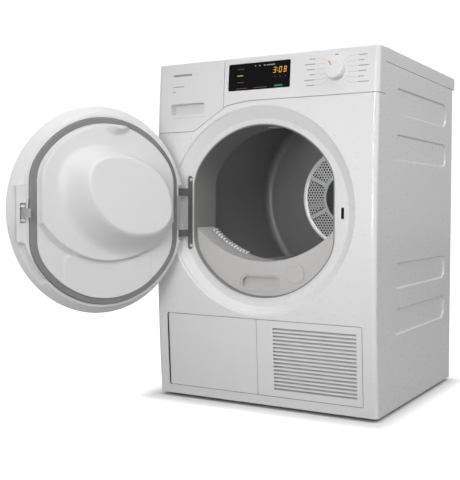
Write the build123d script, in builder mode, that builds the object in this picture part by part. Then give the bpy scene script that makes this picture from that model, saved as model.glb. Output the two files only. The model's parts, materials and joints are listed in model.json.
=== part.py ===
"""Front-loading heat-pump clothes dryer with its porthole door standing open.

Millimetres, +Z up, the front faces -Y.  Dimensions are counted from the point on the
floor under the middle of the cabinet; every piece is written with the middle of the
front left foot's sole as its origin.  Every piece is one named node in parts/.
"""

import os
from math import asin, atan2, cos, degrees, hypot, pi, radians, sin, sqrt

from build123d import *

# ---------------------------------------------------------------- cabinet
HALF = 298.0  # half the width
TOP_Z = 850.0
FRONT_Y = -290.5  # foremost line of the bowed front
BOW_Z = 440.0  # height of that line
BOW_R = 4763.0  # the front is part of a wide cylinder lying across
CORNER_R = 11.0
SHEET = 1.0
JOINT_Y = -237.4  # where the front assembly meets the side panels
REAR_Y = 300.0
LID_REAR_Y = 322.0
PANEL_Z = 8.5
LID_Z = 818.0
GAP = 1.2  # visible gap between neighbouring covers

# ---------------------------------------------------------------- side beads
BEAD_Y = (-168.0, 242.0)
BEAD_HEIGHT = 62.0
BEAD_DEPTH = 3.5
BEAD_Z = (737.0, 628.5, 325.5, 215.5)

# ---------------------------------------------------------------- fascia
SEAM_LOW = 676.0
SEAM_HIGH = 743.5
SPLIT_X = -102.0
FASCIA_T = 2.5
DISPLAY = (-90.0, 78.0, 770.0, 835.4)
KNOB_X, KNOB_Z = 194.5, 800.0
KNOB_R = 23.0
GRIP = (-257.0, -157.0, 721.0, 748.0)

# ---------------------------------------------------------------- plinth
PLINTH = (-267.0, 265.0, 31.0, 218.0)
PLINTH_SPLIT = -7.0
PLINTH_ROUND = 4.0  # corner radius of the opening
LOUVRES = (37.5, 250.5, 48.0, 203.0)
LOUVRE_COUNT = 17

# ---------------------------------------------------------------- porthole
DOOR_X = -5.0
DISH_R, DISH_Z = 250.0, 479.0
FOOT_R, FOOT_Z = 228.0, 473.5
FOOT_Y = -264.5
HOLE_Z = 478.0
HOLE_R, HOLE_FLAT = 208.0, 190.0
HOLE_BLEND = 100.0  # radius between the round and the straight flanks
TUNNEL_REAR = -165.0
LATCH_X = 207.0
LATCH_Z = 474.0
SCREW_DX, SCREW_DZ = 202.0, 83.5

# ---------------------------------------------------------------- door
HINGE_X, HINGE_Y, HINGE_Z = -227.3, -293.3, 474.0
DOOR_OPEN = 109.5  # degrees, how far the door stands open
DOOR_R, DOOR_Z = 242.5, 480.0
DOOR_ARC_R, DOOR_ARC_Z = 225.0, 584.0  # lower edge of the raised part inside
INSERT_X = (200.0, 224.0)
INSERT_Z = (412.0, 534.0)
SEAL_FACE = -266.3  # rear face of the seal when the door is shut
PIN_R = 4.0
RUNNING = 0.05  # radial clearance of pins and shafts

# ---------------------------------------------------------------- lint filter
SILL_Y = -255.0
SILL_R, SILL_Z = 262.0, 617.0
FILTER = (-68.0, 48.0, 282.0, 322.0)
FILTER_ROUND = 15.0
SCOOP = (-62.0, 42.0, 286.5, 318.0)  # finger recess in the filter's face
CAP_X, CAP_Z, CAP_R = 82.0, 328.5, 24.0

# ---------------------------------------------------------------- drum
DRUM_X, DRUM_Z = 3.0, 517.0
DRUM_R = 280.0
DRUM_FRONT, DRUM_REAR = -156.0, 280.0
DRUM_T = 1.0
PERF_IN, PERF_OUT = 82.0, 142.0
SECTORS = 7

# ---------------------------------------------------------------- machinery
MOTOR_X, MOTOR_Z = 150.0, 120.0
MOTOR_Y = (-150.0, 20.0)
PULLEY_R = 8.0
BELT_Y, BELT_W, BELT_T = 90.0, 12.0, 1.6
IDLER_R = 14.0
IDLER_X, IDLER_Z = -26.0, 186.0
ROLLER_R = 26.0
ROLLER_ANGLE = 38.0
COMPRESSOR_X, COMPRESSOR_Y = 185.0, 190.0
FEET_X = 255.0
FEET_Y = (-205.0, 235.0)

os.makedirs("parts", exist_ok=True)


def save(part, name):
    """Label one finished piece and write it, counted from the front left foot."""
    placed = part.moved(Location((FEET_X, -FEET_Y[0], 0)))
    placed.label = name
    export_step(placed, f"parts/{name}.step")


def front(z):
    """The y of the bowed front face at height z."""
    return FRONT_Y + BOW_R - sqrt(BOW_R**2 - (z - BOW_Z) ** 2)


def bar(x, y, z, corner=0.0, along="Z"):
    """Box between two limits on each axis, its edges along one axis rounded."""
    axis = {"X": Axis.X, "Y": Axis.Y, "Z": Axis.Z}[along]
    with BuildPart(Plane((sum(x) / 2, sum(y) / 2, sum(z) / 2))) as block:
        Box(x[1] - x[0], y[1] - y[0], z[1] - z[0])
        if corner:
            fillet(block.edges().filter_by(axis), corner)
    return block.part


def rod(x, z, radius, y):
    """Cylinder lying front to back between two y values."""
    with BuildPart() as cylinder:
        with BuildSketch(Plane.XZ.offset(-y[1])):
            with Locations((x, z)):
                Circle(radius)
        extrude(amount=y[1] - y[0])
    return cylinder.part


def post(x, y, radius, z):
    """Upright cylinder between two heights."""
    with BuildPart() as cylinder:
        with BuildSketch(Plane.XY.offset(z[0])):
            with Locations((x, y)):
                Circle(radius)
        extrude(amount=z[1] - z[0])
    return cylinder.part


def ring(x, z, outer, inner, y):
    """Flat ring lying front to back between two y values."""
    with BuildPart() as washer:
        add(rod(x, z, outer, y))
        add(rod(x, z, inner, y), mode=Mode.SUBTRACT)
    return washer.part


def porthole(x, z, radius, flat, y):
    """Disc with straight flanks at x +- flat, between two y values."""
    with BuildPart() as disc:
        with BuildSketch(Plane.XZ.offset(-y[1])) as outline:
            with Locations((x, z)):
                Circle(radius)
                Rectangle(2 * flat, 2 * radius + 2, mode=Mode.INTERSECT)
            fillet(outline.vertices(), HOLE_BLEND + radius - HOLE_R)
        extrude(amount=y[1] - y[0])
    return disc.part


def bowed_block(inset, x, z, back):
    """Solid whose front follows the bowed face, set back by inset."""
    middle = (z[0] + z[1]) / 2
    with BuildPart() as block:
        with BuildSketch(Plane.YZ.offset(x[0])):
            with BuildLine():
                Polyline((front(z[0]) + inset, z[0]), (back, z[0]), (back, z[1]), (front(z[1]) + inset, z[1]))
                ThreePointArc(
                    (front(z[1]) + inset, z[1]),
                    (front(middle) + inset, middle),
                    (front(z[0]) + inset, z[0]),
                )
            make_face()
        extrude(amount=x[1] - x[0])
    return block.part


def wrapped_block(inset, z, back):
    """Bowed block of the cabinet's full width with its two upright corners rounded."""
    with BuildPart() as block:
        add(bowed_block(inset, (-HALF + inset, HALF - inset), z, back))
        fillet(block.edges().filter_by(GeomType.CIRCLE), CORNER_R - inset)
    return block.part


def bowed_sheet(depth, thickness, x, z):
    """Curved plate parallel to the front, from depth to depth + thickness behind it."""
    with BuildPart() as sheet:
        add(bowed_block(depth, x, z, -200))
        add(bowed_block(depth + thickness, (x[0] - 1, x[1] + 1), (z[0] - 1, z[1] + 1), -199), mode=Mode.SUBTRACT)
    return sheet.part


def seam_region(shift, close):
    """Slab bounded by the line under the fascia; close says how far it reaches up or down."""
    with BuildPart() as region:
        with BuildSketch(Plane.XZ.offset(150)):
            with BuildLine():
                seam = FilletPolyline(
                    (-HALF - 5, SEAM_LOW + shift),
                    (-186, SEAM_LOW + shift),
                    (-92, 735.5 + shift),
                    (-30, SEAM_HIGH + shift),
                    (HALF + 5, SEAM_HIGH + shift),
                    radius=24,
                )
                Polyline(seam @ 1, (HALF + 5, close), (-HALF - 5, close), seam @ 0)
            make_face()
        extrude(amount=200)
    return region.part


# ================================================================ cabinet shell
def side_panel(side):
    """Painted sheet side with four pressed-in beads and folded edges."""
    outer = side * HALF
    skin = tuple(sorted((outer, outer - side * SHEET)))
    with BuildPart() as panel:
        add(bar(skin, (JOINT_Y, REAR_Y), (PANEL_Z, LID_Z - GAP)))
        folds = tuple(sorted((outer - side * SHEET, outer - side * 16)))
        add(bar(folds, (JOINT_Y, JOINT_Y + SHEET), (PANEL_Z + 60, LID_Z - GAP)))
        add(bar(folds, (REAR_Y - SHEET, REAR_Y), (PANEL_Z, LID_Z - GAP)))
        length = BEAD_Y[1] - BEAD_Y[0]
        middle = (BEAD_Y[0] + BEAD_Y[1]) / 2
        for z in BEAD_Z:
            for step, mode in ((SHEET, Mode.ADD), (0.0, Mode.SUBTRACT)):
                face = Plane((outer, middle, z), x_dir=(0, 1, 0), z_dir=(-side, 0, 0))
                with BuildSketch(face):
                    RectangleRounded(length + 2 * step, BEAD_HEIGHT + 2 * step, 24 + step)
                extrude(amount=BEAD_DEPTH + step, taper=40, mode=mode)
    return panel.part


save(side_panel(-1), "left_side_panel")
save(side_panel(1), "right_side_panel")


def dish_cutter(grow):
    """The round hollow around the porthole: a short straight band and a conical wall."""
    band = -280.0
    with BuildPart() as cutter:
        with BuildSketch(Plane.XZ.offset(-band)):
            with Locations((DOOR_X, DISH_Z)):
                Circle(DISH_R + grow)
        extrude(amount=30)
        with BuildSketch(Plane.XZ.offset(-band)):
            with Locations((DOOR_X, DISH_Z)):
                Circle(DISH_R + grow)
        with BuildSketch(Plane.XZ.offset(-FOOT_Y - grow)):
            with Locations((DOOR_X, FOOT_Z)):
                Circle(FOOT_R + grow)
        loft()
    return cutter.part


def front_form(inset):
    """The front panel's mass, one thickness in when inset is the sheet."""
    with BuildPart() as form:
        add(wrapped_block(inset, (PANEL_Z - 5 * inset, SEAM_HIGH + 5), JOINT_Y + 30 * inset))
        add(dish_cutter(inset), mode=Mode.SUBTRACT)
        rims = form.edges().filter_by(lambda e: abs(e.length - 2 * pi * (DISH_R + inset)) < 12)
        fillet(rims.sort_by(Axis.Y)[0], 4.5 - inset)
    return form.part


def front_panel():
    x, z = PLINTH[:2], PLINTH[2:]
    with BuildPart() as panel:
        add(front_form(0))
        add(front_form(SHEET), mode=Mode.SUBTRACT)
        add(seam_region(0, 0), mode=Mode.INTERSECT)
        add(porthole(DOOR_X, HOLE_Z, HOLE_R + 3.4, HOLE_FLAT + 3.4, (-275, -250)), mode=Mode.SUBTRACT)
        add(bar(x, (-300, -255), z, PLINTH_ROUND, "Y"), mode=Mode.SUBTRACT)
        add(bar((LATCH_X - 3.5, LATCH_X + 3.5), (-280, -255), (LATCH_Z - 13, LATCH_Z + 13)), mode=Mode.SUBTRACT)
        for dx in (-SCREW_DX, SCREW_DX):
            for dz in (-SCREW_DZ, SCREW_DZ):
                add(rod(DOOR_X + dx, HINGE_Z + dz, 4.4, (-275, -255)), mode=Mode.SUBTRACT)
    return panel.part


save(front_panel(), "front_panel")


def fascia_form(inset):
    with BuildPart() as form:
        add(wrapped_block(inset, (SEAM_LOW - 6 * inset - 2, TOP_Z - inset), JOINT_Y + 10 * inset))
    return form.part


def fascia_shell(x):
    """The moulded strip above the seam, closed at the top, between two x values."""
    with BuildPart() as shell:
        add(fascia_form(0))
        top_edges = shell.edges().group_by(Axis.Z)[-1].filter_by(lambda e: e.center().Y < JOINT_Y - 1)
        fillet(top_edges, 3)
        add(fascia_form(FASCIA_T), mode=Mode.SUBTRACT)
        add(seam_region(GAP, TOP_Z + 5), mode=Mode.INTERSECT)
        add(bar(x, (-320, -200), (600, 900)), mode=Mode.INTERSECT)
    return shell.part


def fascia_panel():
    left, right, low, high = DISPLAY
    with BuildPart() as panel:
        add(fascia_shell((SPLIT_X + 0.6, HALF + 5)))
        add(bar((left, right), (-320, -250), (low, high), 3, "Y"), mode=Mode.SUBTRACT)
        add(rod(KNOB_X, KNOB_Z, 9, (-320, -250)), mode=Mode.SUBTRACT)
    return panel.part


save(fascia_panel(), "fascia_panel")


def display_window():
    left, right, low, high = DISPLAY
    inside = 0.4
    with BuildPart() as window:
        add(bowed_sheet(0.4, 2.0, (left, right), (low, high)))
        outline = bar((left + inside, right - inside), (-300, -260), (low + inside, high - inside), 3, "Y")
        add(outline, mode=Mode.INTERSECT)
    return window.part


save(display_window(), "display_window")


KNOB_LEAN = asin((KNOB_Z - BOW_Z) / BOW_R)
KNOB_PLANE = Plane(
    (KNOB_X, front(KNOB_Z), KNOB_Z), x_dir=(1, 0, 0), z_dir=(0, -cos(KNOB_LEAN), sin(KNOB_LEAN))
)


def control_board():
    """Electronics carrier behind the fascia with its board and tall components."""
    with BuildPart() as board:
        add(bar((-95, 225), (-262, -260.4), (752, 838)))
        for index in range(6):
            x = -80 + index * 24
            add(bar((x, x + 14), (-260.4, -248 + 2 * (index % 3)), (756, 764)))
        for index in range(3):
            add(rod(100 + 26 * index, 764, 8, (-260.4, -240)))
        with BuildSketch(KNOB_PLANE.offset(-17)):
            Circle(11)
        extrude(amount=5)
        with BuildSketch(KNOB_PLANE.offset(-20)):
            Circle(3 + RUNNING)
        extrude(amount=20, mode=Mode.SUBTRACT)
    return board.part


save(control_board(), "control_board")


def program_knob():
    """Selector knob square to the leaning fascia, with its spindle."""
    with BuildPart() as knob:
        with BuildSketch(KNOB_PLANE.offset(0.6)):
            Circle(KNOB_R)
        extrude(amount=19, taper=3)
        fillet(knob.edges().group_by(Axis.Y)[0], 2.5)
        with BuildSketch(KNOB_PLANE.offset(-18)):
            Circle(3)
        extrude(amount=19)
    return knob.part


save(program_knob(), "program_knob")


def top_lid():
    """Worktop: a moulded rim with a flat plate, open underneath, ribbed across."""
    rim = 2.5
    y = (JOINT_Y + GAP / 2, LID_REAR_Y)
    with BuildPart() as lid:
        add(bar((-HALF, HALF), y, (LID_Z, TOP_Z), 3, "Z"))
        fillet(lid.edges().group_by(Axis.Z)[-1], 1.5)
        cavity = bar((-HALF + rim, HALF - rim), (y[0] + rim, y[1] - rim), (LID_Z - 1, TOP_Z - 3))
        add(cavity, mode=Mode.SUBTRACT)
        for x in (-150, 0, 150):
            add(bar((x - 1.5, x + 1.5), (y[0] + rim, y[1] - rim), (TOP_Z - 14, TOP_Z - 3)))
    return lid.part


save(top_lid(), "top_lid")


def rear_panel():
    with BuildPart() as panel:
        add(bar((-282, 282), (REAR_Y - SHEET, REAR_Y), (62.5, LID_Z - GAP)))
        add(bar((-281, 281), (REAR_Y - 12, REAR_Y - SHEET), (LID_Z - GAP - SHEET, LID_Z - GAP)))
        add(rod(DRUM_X, DRUM_Z, 160, (280, 310)), mode=Mode.SUBTRACT)
        add(bar((-200, -110), (290, 310), (70, 380), 6, "Y"), mode=Mode.SUBTRACT)
        for index in range(9):
            z = 110 + 14 * index
            add(bar((90, 230), (290, 310), (z, z + 5), 2.4, "Y"), mode=Mode.SUBTRACT)
        add(rod(-245, 90, 7.2, (290, 310)), mode=Mode.SUBTRACT)
        add(rod(266, 90, 9.7, (290, 310)), mode=Mode.SUBTRACT)
    return panel.part


save(rear_panel(), "rear_panel")


def duct_form(inset, depth):
    """The duct's mass behind the rear panel: a round head on an upright channel."""
    with BuildPart() as shape:
        with BuildSketch(Plane.XZ.offset(-REAR_Y)):
            with Locations((DRUM_X, DRUM_Z)):
                Circle(190 - inset)
            with Locations((-155, 250)):
                Rectangle(110 - 2 * inset, 400 - 2 * inset)
        extrude(amount=-depth, taper=18)
    return shape.part


def rear_duct_cover():
    """Pressed cover that leads warm air up the back and into the drum's rear wall."""
    with BuildPart() as cover:
        add(duct_form(0, 20.5))
        add(duct_form(1.6, 19.0), mode=Mode.SUBTRACT)
        with BuildSketch(Plane.XZ.offset(-REAR_Y)):
            with Locations((DRUM_X, DRUM_Z)):
                Circle(204)
                Circle(188.4, mode=Mode.SUBTRACT)
            with Locations((-155, 250)):
                Rectangle(126, 416)
                Rectangle(106.8, 396.8, mode=Mode.SUBTRACT)
            with Locations((DRUM_X, DRUM_Z)):
                Circle(188.4, mode=Mode.SUBTRACT)
        extrude(amount=-1.6)
    return cover.part


save(rear_duct_cover(), "rear_duct_cover")


def base_pan():
    """Moulded base tray with ribs, bosses for the feet and a post for the belt's idler."""
    x, y, z = (-292.0, 292.0), (-234.0, 297.0), (20.0, 60.0)
    wall = 3.0
    with BuildPart() as pan:
        add(bar(x, y, z, 8, "Z"))
        add(bar((x[0] + wall, x[1] - wall), (y[0] + wall, y[1] - wall), (z[0] + wall, z[1] + 1)), mode=Mode.SUBTRACT)
        for offset in (-140, 40):
            add(bar((offset - 1.5, offset + 1.5), (y[0] + wall, y[1] - wall), (z[0] + wall, 38)))
        for fx in (-FEET_X, FEET_X):
            for fy in FEET_Y:
                add(post(fx, fy, 16, (12, 46)))
                add(post(fx, fy, 6 + RUNNING, (11, 47)), mode=Mode.SUBTRACT)
        post_y = (BELT_Y - 22, BELT_Y - 16)
        add(bar((IDLER_X - 9, IDLER_X + 9), post_y, (z[0] + 1, IDLER_Z + 9)))
        add(bar((IDLER_X - 1.5, IDLER_X + 1.5), (post_y[0] - 34, post_y[0] + 1), (z[0] + 1, 110)))
        add(rod(IDLER_X, IDLER_Z, 4 + RUNNING, (post_y[0] - 1, post_y[1] + 1)), mode=Mode.SUBTRACT)
    return pan.part


save(base_pan(), "base_pan")


def foot(x, y):
    """Levelling foot: rubber-soled pad on a threaded stem."""
    with BuildPart() as pad:
        add(post(x, y, 22, (0, 9)))
        fillet(pad.edges().group_by(Axis.Z)[0], 1.5)
        add(post(x, y, 6, (9, 44)))
    return pad.part


def levelling_feet():
    """Four equal feet, one group."""
    with BuildPart() as feet:
        for x in (-FEET_X, FEET_X):
            for y in FEET_Y:
                add(foot(x, y))
    return feet.part


save(levelling_feet(), "levelling_feet")


# ================================================================ plinth
def plinth_plate(x, z):
    """Curved cover plate with a rim turned inwards."""
    with BuildPart() as plate:
        add(bowed_block(0, x, z, -262))
        add(bowed_block(2.4, (x[0] + 2.4, x[1] - 2.4), (z[0] + 2.4, z[1] - 2.4), -250), mode=Mode.SUBTRACT)
    return plate.part


def grille_panel():
    x = (PLINTH_SPLIT + GAP / 2, PLINTH[1] - GAP)
    z = (PLINTH[2] + GAP, PLINTH[3] - GAP)
    pitch = (LOUVRES[3] - LOUVRES[2]) / LOUVRE_COUNT
    with BuildPart() as panel:
        add(plinth_plate(x, z))
        uprights = panel.edges().filter_by(Axis.Y).filter_by(lambda e: e.center().X > x[1] - 1)
        fillet(uprights.filter_by(lambda e: e.length > 8), PLINTH_ROUND - GAP + 0.2)
        for index in range(LOUVRE_COUNT):
            low = LOUVRES[2] + pitch * index
            slot = bar((LOUVRES[0], LOUVRES[1]), (-300, -240), (low + 1.2, low + pitch - 3.4))
            add(slot, mode=Mode.SUBTRACT)
    return panel.part


save(grille_panel(), "grille_panel")

FLAP_TILT = atan2(front(PLINTH[3]) - front(PLINTH[2]), PLINTH[3] - PLINTH[2])
FLAP_ROUND = 6.0
PIVOT_R = 2.0
FLAP_X = PLINTH[0] + GAP + FLAP_ROUND
FLAP_Z = (PLINTH[2] + PLINTH[3]) / 2
FLAP_Y = (front(PLINTH[2]) + front(PLINTH[3])) / 2 + FLAP_ROUND / cos(FLAP_TILT)
FLAP_AXIS = Plane((FLAP_X, FLAP_Y, FLAP_Z), x_dir=(1, 0, 0), z_dir=(0, sin(FLAP_TILT), cos(FLAP_TILT)))


def access_flap():
    """Maintenance flap: curved plate, rounded hinge edge with moulded pins, push dimple."""
    x = (PLINTH[0] + GAP, PLINTH_SPLIT - GAP / 2)
    z = (PLINTH[2] + GAP, PLINTH[3] - GAP)
    reach = (z[1] - z[0]) / 2
    with BuildPart() as flap:
        add(bowed_sheet(0, 3.0, (FLAP_X, x[1]), z))
        with BuildSketch(FLAP_AXIS.offset(-reach + 1)):
            Circle(FLAP_ROUND)
        extrude(amount=2 * reach - 2)
        add(bowed_sheet(2.9, 9.0, (FLAP_X + 20, FLAP_X + 23), (z[0] + 6, z[1] - 6)))
        add(bowed_sheet(2.9, 9.0, (x[1] - 3, x[1]), (z[0] + 6, z[1] - 6)))
        add(rod(-38.5, 121.4, 9.5, (-300, front(121.4) + 1.6)), mode=Mode.SUBTRACT)
        add(bar((-44.5, -32.5), (front(121.4) + 2.9, -258), (118, 125)))
        with BuildSketch(FLAP_AXIS.offset(-reach - 9)):
            Circle(PIVOT_R)
        extrude(amount=2 * reach + 18)
    return flap.part


save(access_flap(), "access_flap")


def plinth_frame():
    """Carrier behind the plinth covers: two rails, end posts and the flap's pin eyes."""
    y = (-256.0, -246.0)
    reach = (PLINTH[3] - PLINTH[2]) / 2 + 1.5
    with BuildPart() as frame:
        add(bar((-285, 285), y, (PLINTH[3] + 4, PLINTH[3] + 14)))
        add(bar((-285, 285), y, (PLINTH[2] - 16, PLINTH[2] - 6)))
        for x in (-285, 272):
            add(bar((x, x + 13), y, (PLINTH[2] - 16, PLINTH[3] + 14)))
        for low, side in ((reach, 1), (-reach - 7, -1)):
            with BuildSketch(FLAP_AXIS.offset(low)):
                Circle(4.5)
                with Locations((0, 12)):
                    Rectangle(9, 24)
            extrude(amount=7)
        with BuildSketch(FLAP_AXIS.offset(-reach - 9)):
            Circle(PIVOT_R + RUNNING)
        extrude(amount=2 * reach + 18, mode=Mode.SUBTRACT)
        add(bar((-46, -31), (-257, -246), (112, 131)))
        add(bar((-46, -31), (-250, -246), (PLINTH[2] - 8, PLINTH[3] + 6)))
        add(bar((-45, -32), (-259, -251.5), (117.5, 125.5)), mode=Mode.SUBTRACT)
    return frame.part


save(plinth_frame(), "plinth_frame")


# ================================================================ porthole
def loading_tunnel():
    """Throat between the front and the drum, with a window for the lamp."""
    with BuildPart() as tunnel:
        add(porthole(DOOR_X, HOLE_Z, HOLE_R + 3, HOLE_FLAT + 3, (-265.6, TUNNEL_REAR)))
        add(porthole(DOOR_X, HOLE_Z, HOLE_R, HOLE_FLAT, (-270, TUNNEL_REAR + 5)), mode=Mode.SUBTRACT)
        add(bar((-21, 21), (-206, -189), (HOLE_Z + HOLE_R - 6, HOLE_Z + HOLE_R + 8)), mode=Mode.SUBTRACT)
    return tunnel.part


save(loading_tunnel(), "loading_tunnel")


def opening_rim():
    """Bright trim round the opening, lying on the floor of the dish."""
    with BuildPart() as rim:
        add(porthole(DOOR_X, HOLE_Z, HOLE_R + 7.2, HOLE_FLAT + 7.2, (-265.6, -264.6)))
        add(porthole(DOOR_X, HOLE_Z, HOLE_R + 3.2, HOLE_FLAT + 3.2, (-267, -263)), mode=Mode.SUBTRACT)
    return rim.part


save(opening_rim(), "opening_rim")
save(bar((-20, 20), (-205, -190), (HOLE_Z + HOLE_R - 1.5, HOLE_Z + HOLE_R + 5), 3, "Z"), "interior_lamp")


def panel_screws():
    """Four countersunk screws in the floor of the dish, one group."""
    with BuildPart() as screws:
        for dx in (-SCREW_DX, SCREW_DX):
            for dz in (-SCREW_DZ, SCREW_DZ):
                add(rod(DOOR_X + dx, HINGE_Z + dz, 4.1, (FOOT_Y + 0.1, FOOT_Y + 2.4)))
                add(rod(DOOR_X + dx, HINGE_Z + dz, 2.0, (FOOT_Y + 2.4, FOOT_Y + 12)))
                add(rod(DOOR_X + dx, HINGE_Z + dz, 1.3, (FOOT_Y, FOOT_Y + 1.4)), mode=Mode.SUBTRACT)
    return screws.part


save(panel_screws(), "panel_screws")


def front_shield():
    """Pressed plate behind the front that carries the felt, the rollers and the sill."""
    y = (-171.0, -169.0)
    with BuildPart() as shield:
        add(bar((-290, 290), y, (236, 812), 12, "Y"))
        add(porthole(DOOR_X, HOLE_Z, HOLE_R + 3.3, HOLE_FLAT + 3.3, (-175, -165)), mode=Mode.SUBTRACT)
        add(bar((-291, -107), (-175, -165), (697, 815)), mode=Mode.SUBTRACT)
        for side in (-1, 1):
            x, z = roller_place(side)
            add(rod(x, z, 5 + RUNNING, (-175, -165)), mode=Mode.SUBTRACT)
    return shield.part


def roller_place(side):
    """Centre of a support roller under the drum's front edge."""
    reach = DRUM_R + DRUM_T + ROLLER_R + 0.3
    turn = radians(ROLLER_ANGLE)
    return DRUM_X + side * reach * sin(turn), DRUM_Z - reach * cos(turn)


def support_roller(side):
    x, z = roller_place(side)
    with BuildPart() as roller:
        add(rod(x, z, ROLLER_R, (-150, -126)))
        fillet(roller.edges().filter_by(GeomType.CIRCLE), 2)
        add(ring(x, z, 20, 11, (-151, -147)), mode=Mode.SUBTRACT)
        add(rod(x, z, 5, (-173, -120)))
    return roller.part


save(front_shield(), "front_shield")
save(support_roller(-1), "support_roller_left")
save(support_roller(1), "support_roller_right")
save(ring(DRUM_X, DRUM_Z, 274, 258, (-168.8, DRUM_FRONT - 0.4)), "felt_seal")


def sill_region(y, grow=0.0):
    """Crescent at the foot of the opening, under the wide arc of the sill."""
    with BuildPart() as region:
        add(porthole(DOOR_X, HOLE_Z, HOLE_R - 0.3 + grow, HOLE_FLAT - 0.3 + grow, y))
        add(rod(DOOR_X, SILL_Z, SILL_R, (y[0] - 1, y[1] + 1)), mode=Mode.SUBTRACT)
        add(bar((-250, 250), (y[0] - 1, y[1] + 1), (SILL_Z - 20, 900)), mode=Mode.SUBTRACT)
    return region.part


def filter_housing():
    """Moulded crescent that holds the lint filter, with a comb along its left rear edge."""
    x, z = FILTER[:2], FILTER[2:]
    with BuildPart() as housing:
        add(sill_region((SILL_Y, -172)))
        fillet(housing.edges().group_by(Axis.Y)[0].sort_by(Axis.Z)[-1], 1.5)
        add(bar(x, (SILL_Y - 1, -165), z, FILTER_ROUND, "Y"), mode=Mode.SUBTRACT)
        add(rod(CAP_X, CAP_Z, CAP_R + 0.4, (SILL_Y - 1, SILL_Y + 12)), mode=Mode.SUBTRACT)
        add(rod(CAP_X, CAP_Z, 4 + RUNNING, (SILL_Y, SILL_Y + 40)), mode=Mode.SUBTRACT)
        for index in range(12):
            turn = radians(226.5 + 2.1 * index)
            tooth = Plane((DOOR_X + (SILL_R + 4) * cos(turn), -184, SILL_Z + (SILL_R + 4) * sin(turn)))
            with BuildPart(tooth, mode=Mode.PRIVATE) as slot:
                Box(3.6, 28, 16, rotation=(0, 90 - degrees(turn), 0))
            add(slot.part, mode=Mode.SUBTRACT)
    return housing.part


def finger_scoop():
    """Recess with rounded ends, deep at its top and running out at its foot."""
    with BuildPart() as scoop:
        add(bar(SCOOP[:2], (SILL_Y - 1, SILL_Y + 16), SCOOP[2:], FILTER_ROUND - 2, "Y"))
        with BuildPart(mode=Mode.PRIVATE) as hollow:
            with BuildSketch(Plane.YZ.offset(-100)):
                with Locations((SILL_Y - 13, SCOOP[3] - 6)):
                    Circle(28)
            extrude(amount=200)
        add(hollow.part, mode=Mode.INTERSECT)
    return scoop.part


def lint_filter():
    """Pull-out cassette with a finger recess in its face and a fine mesh frame behind."""
    x = (FILTER[0] + 0.6, FILTER[1] - 0.6)
    z = (FILTER[2] + 0.6, FILTER[3] - 0.6)
    with BuildPart() as cassette:
        add(bar(x, (SILL_Y, -176), z, FILTER_ROUND - 0.6, "Y"))
        add(finger_scoop(), mode=Mode.SUBTRACT)
        add(bar((x[0] + 4, x[1] - 4), (SILL_Y + 22, -190), (z[0] + 4, z[1] + 1)), mode=Mode.SUBTRACT)
        for index in range(7):
            low = x[0] + 8 + 16 * index
            add(bar((low, low + 9), (-191, -175), (z[0] + 6, z[1] - 6)), mode=Mode.SUBTRACT)
    return cassette.part


def flacon_cap():
    """Round turning cap with a shallow grip bar and a short spindle."""
    with BuildPart() as cap:
        add(rod(CAP_X, CAP_Z, CAP_R, (SILL_Y - 2.2, SILL_Y + 11.6)))
        fillet(cap.edges().group_by(Axis.Y)[0], 1.5)
        add(rod(CAP_X, CAP_Z, CAP_R - 4, (SILL_Y - 3, SILL_Y - 1.4)), mode=Mode.SUBTRACT)
        add(bar((CAP_X - 15, CAP_X + 15), (SILL_Y - 2.2, SILL_Y), (CAP_Z - 2, CAP_Z + 2)))
        add(rod(CAP_X, CAP_Z, 4, (SILL_Y + 11, SILL_Y + 39)))
    return cap.part


save(filter_housing(), "filter_housing")
save(lint_filter(), "lint_filter")
save(flacon_cap(), "flacon_cap")


def door_lock():
    """Switch case behind the slot in the front, hollow where the hook enters."""
    x, z = (LATCH_X - 12, LATCH_X + 14), (LATCH_Z - 24, LATCH_Z + 24)
    with BuildPart() as lock:
        add(bar(x, (-263.2, -232), z, 2, "Y"))
        add(bar((x[0] + 4, x[1] - 4), (-264, -236), (z[0] + 8, z[1] - 8)), mode=Mode.SUBTRACT)
    return lock.part


save(door_lock(), "door_lock")

# ================================================================ hinge
EAR_Z = ((HINGE_Z - 61, HINGE_Z - 44), (HINGE_Z + 43, HINGE_Z + 61))
ARM_Z = (HINGE_Z - 43, HINGE_Z + 42)
KNUCKLE_R = 6.0


def hinge_bracket():
    """Dark bracket on the dish floor with two ears that reach out to the pin."""
    with BuildPart() as bracket:
        add(bar((-215.5, -202.7), (-266.2, -264.6), (HINGE_Z - 93, HINGE_Z + 93), 6.3, "Y"))
        for dz in (-SCREW_DZ, SCREW_DZ):
            add(rod(DOOR_X - SCREW_DX, HINGE_Z + dz, 4.4, (-270, -260)), mode=Mode.SUBTRACT)
        for low, high in EAR_Z:
            with BuildSketch(Plane.XY.offset(low)):
                with Locations((HINGE_X, HINGE_Y)):
                    Circle(KNUCKLE_R)
                with BuildLine():
                    Polyline(
                        (HINGE_X - 5.6, HINGE_Y + 2),
                        (HINGE_X + 5.6, HINGE_Y - 2),
                        (-211, -264.6),
                        (-221.5, -264.6),
                        close=True,
                    )
                make_face()
            extrude(amount=high - low)
        add(post(HINGE_X, HINGE_Y, PIN_R, (400, 560)), mode=Mode.SUBTRACT)
    return bracket.part


save(hinge_bracket(), "hinge_bracket")
save(post(HINGE_X, HINGE_Y, PIN_R, (EAR_Z[0][0] - 1.5, EAR_Z[1][1] + 1.5)), "hinge_pin")

# ================================================================ door
DOOR_AXIS = Axis((HINGE_X, HINGE_Y, 0), (0, 0, 1))


def deep(d):
    """The y at depth d behind the hinge line while the door is shut."""
    return HINGE_Y + d


def save_open(part, name):
    """Write a piece drawn with the door shut at the place it has while open."""
    save(part.rotate(DOOR_AXIS, -DOOR_OPEN), name)


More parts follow.
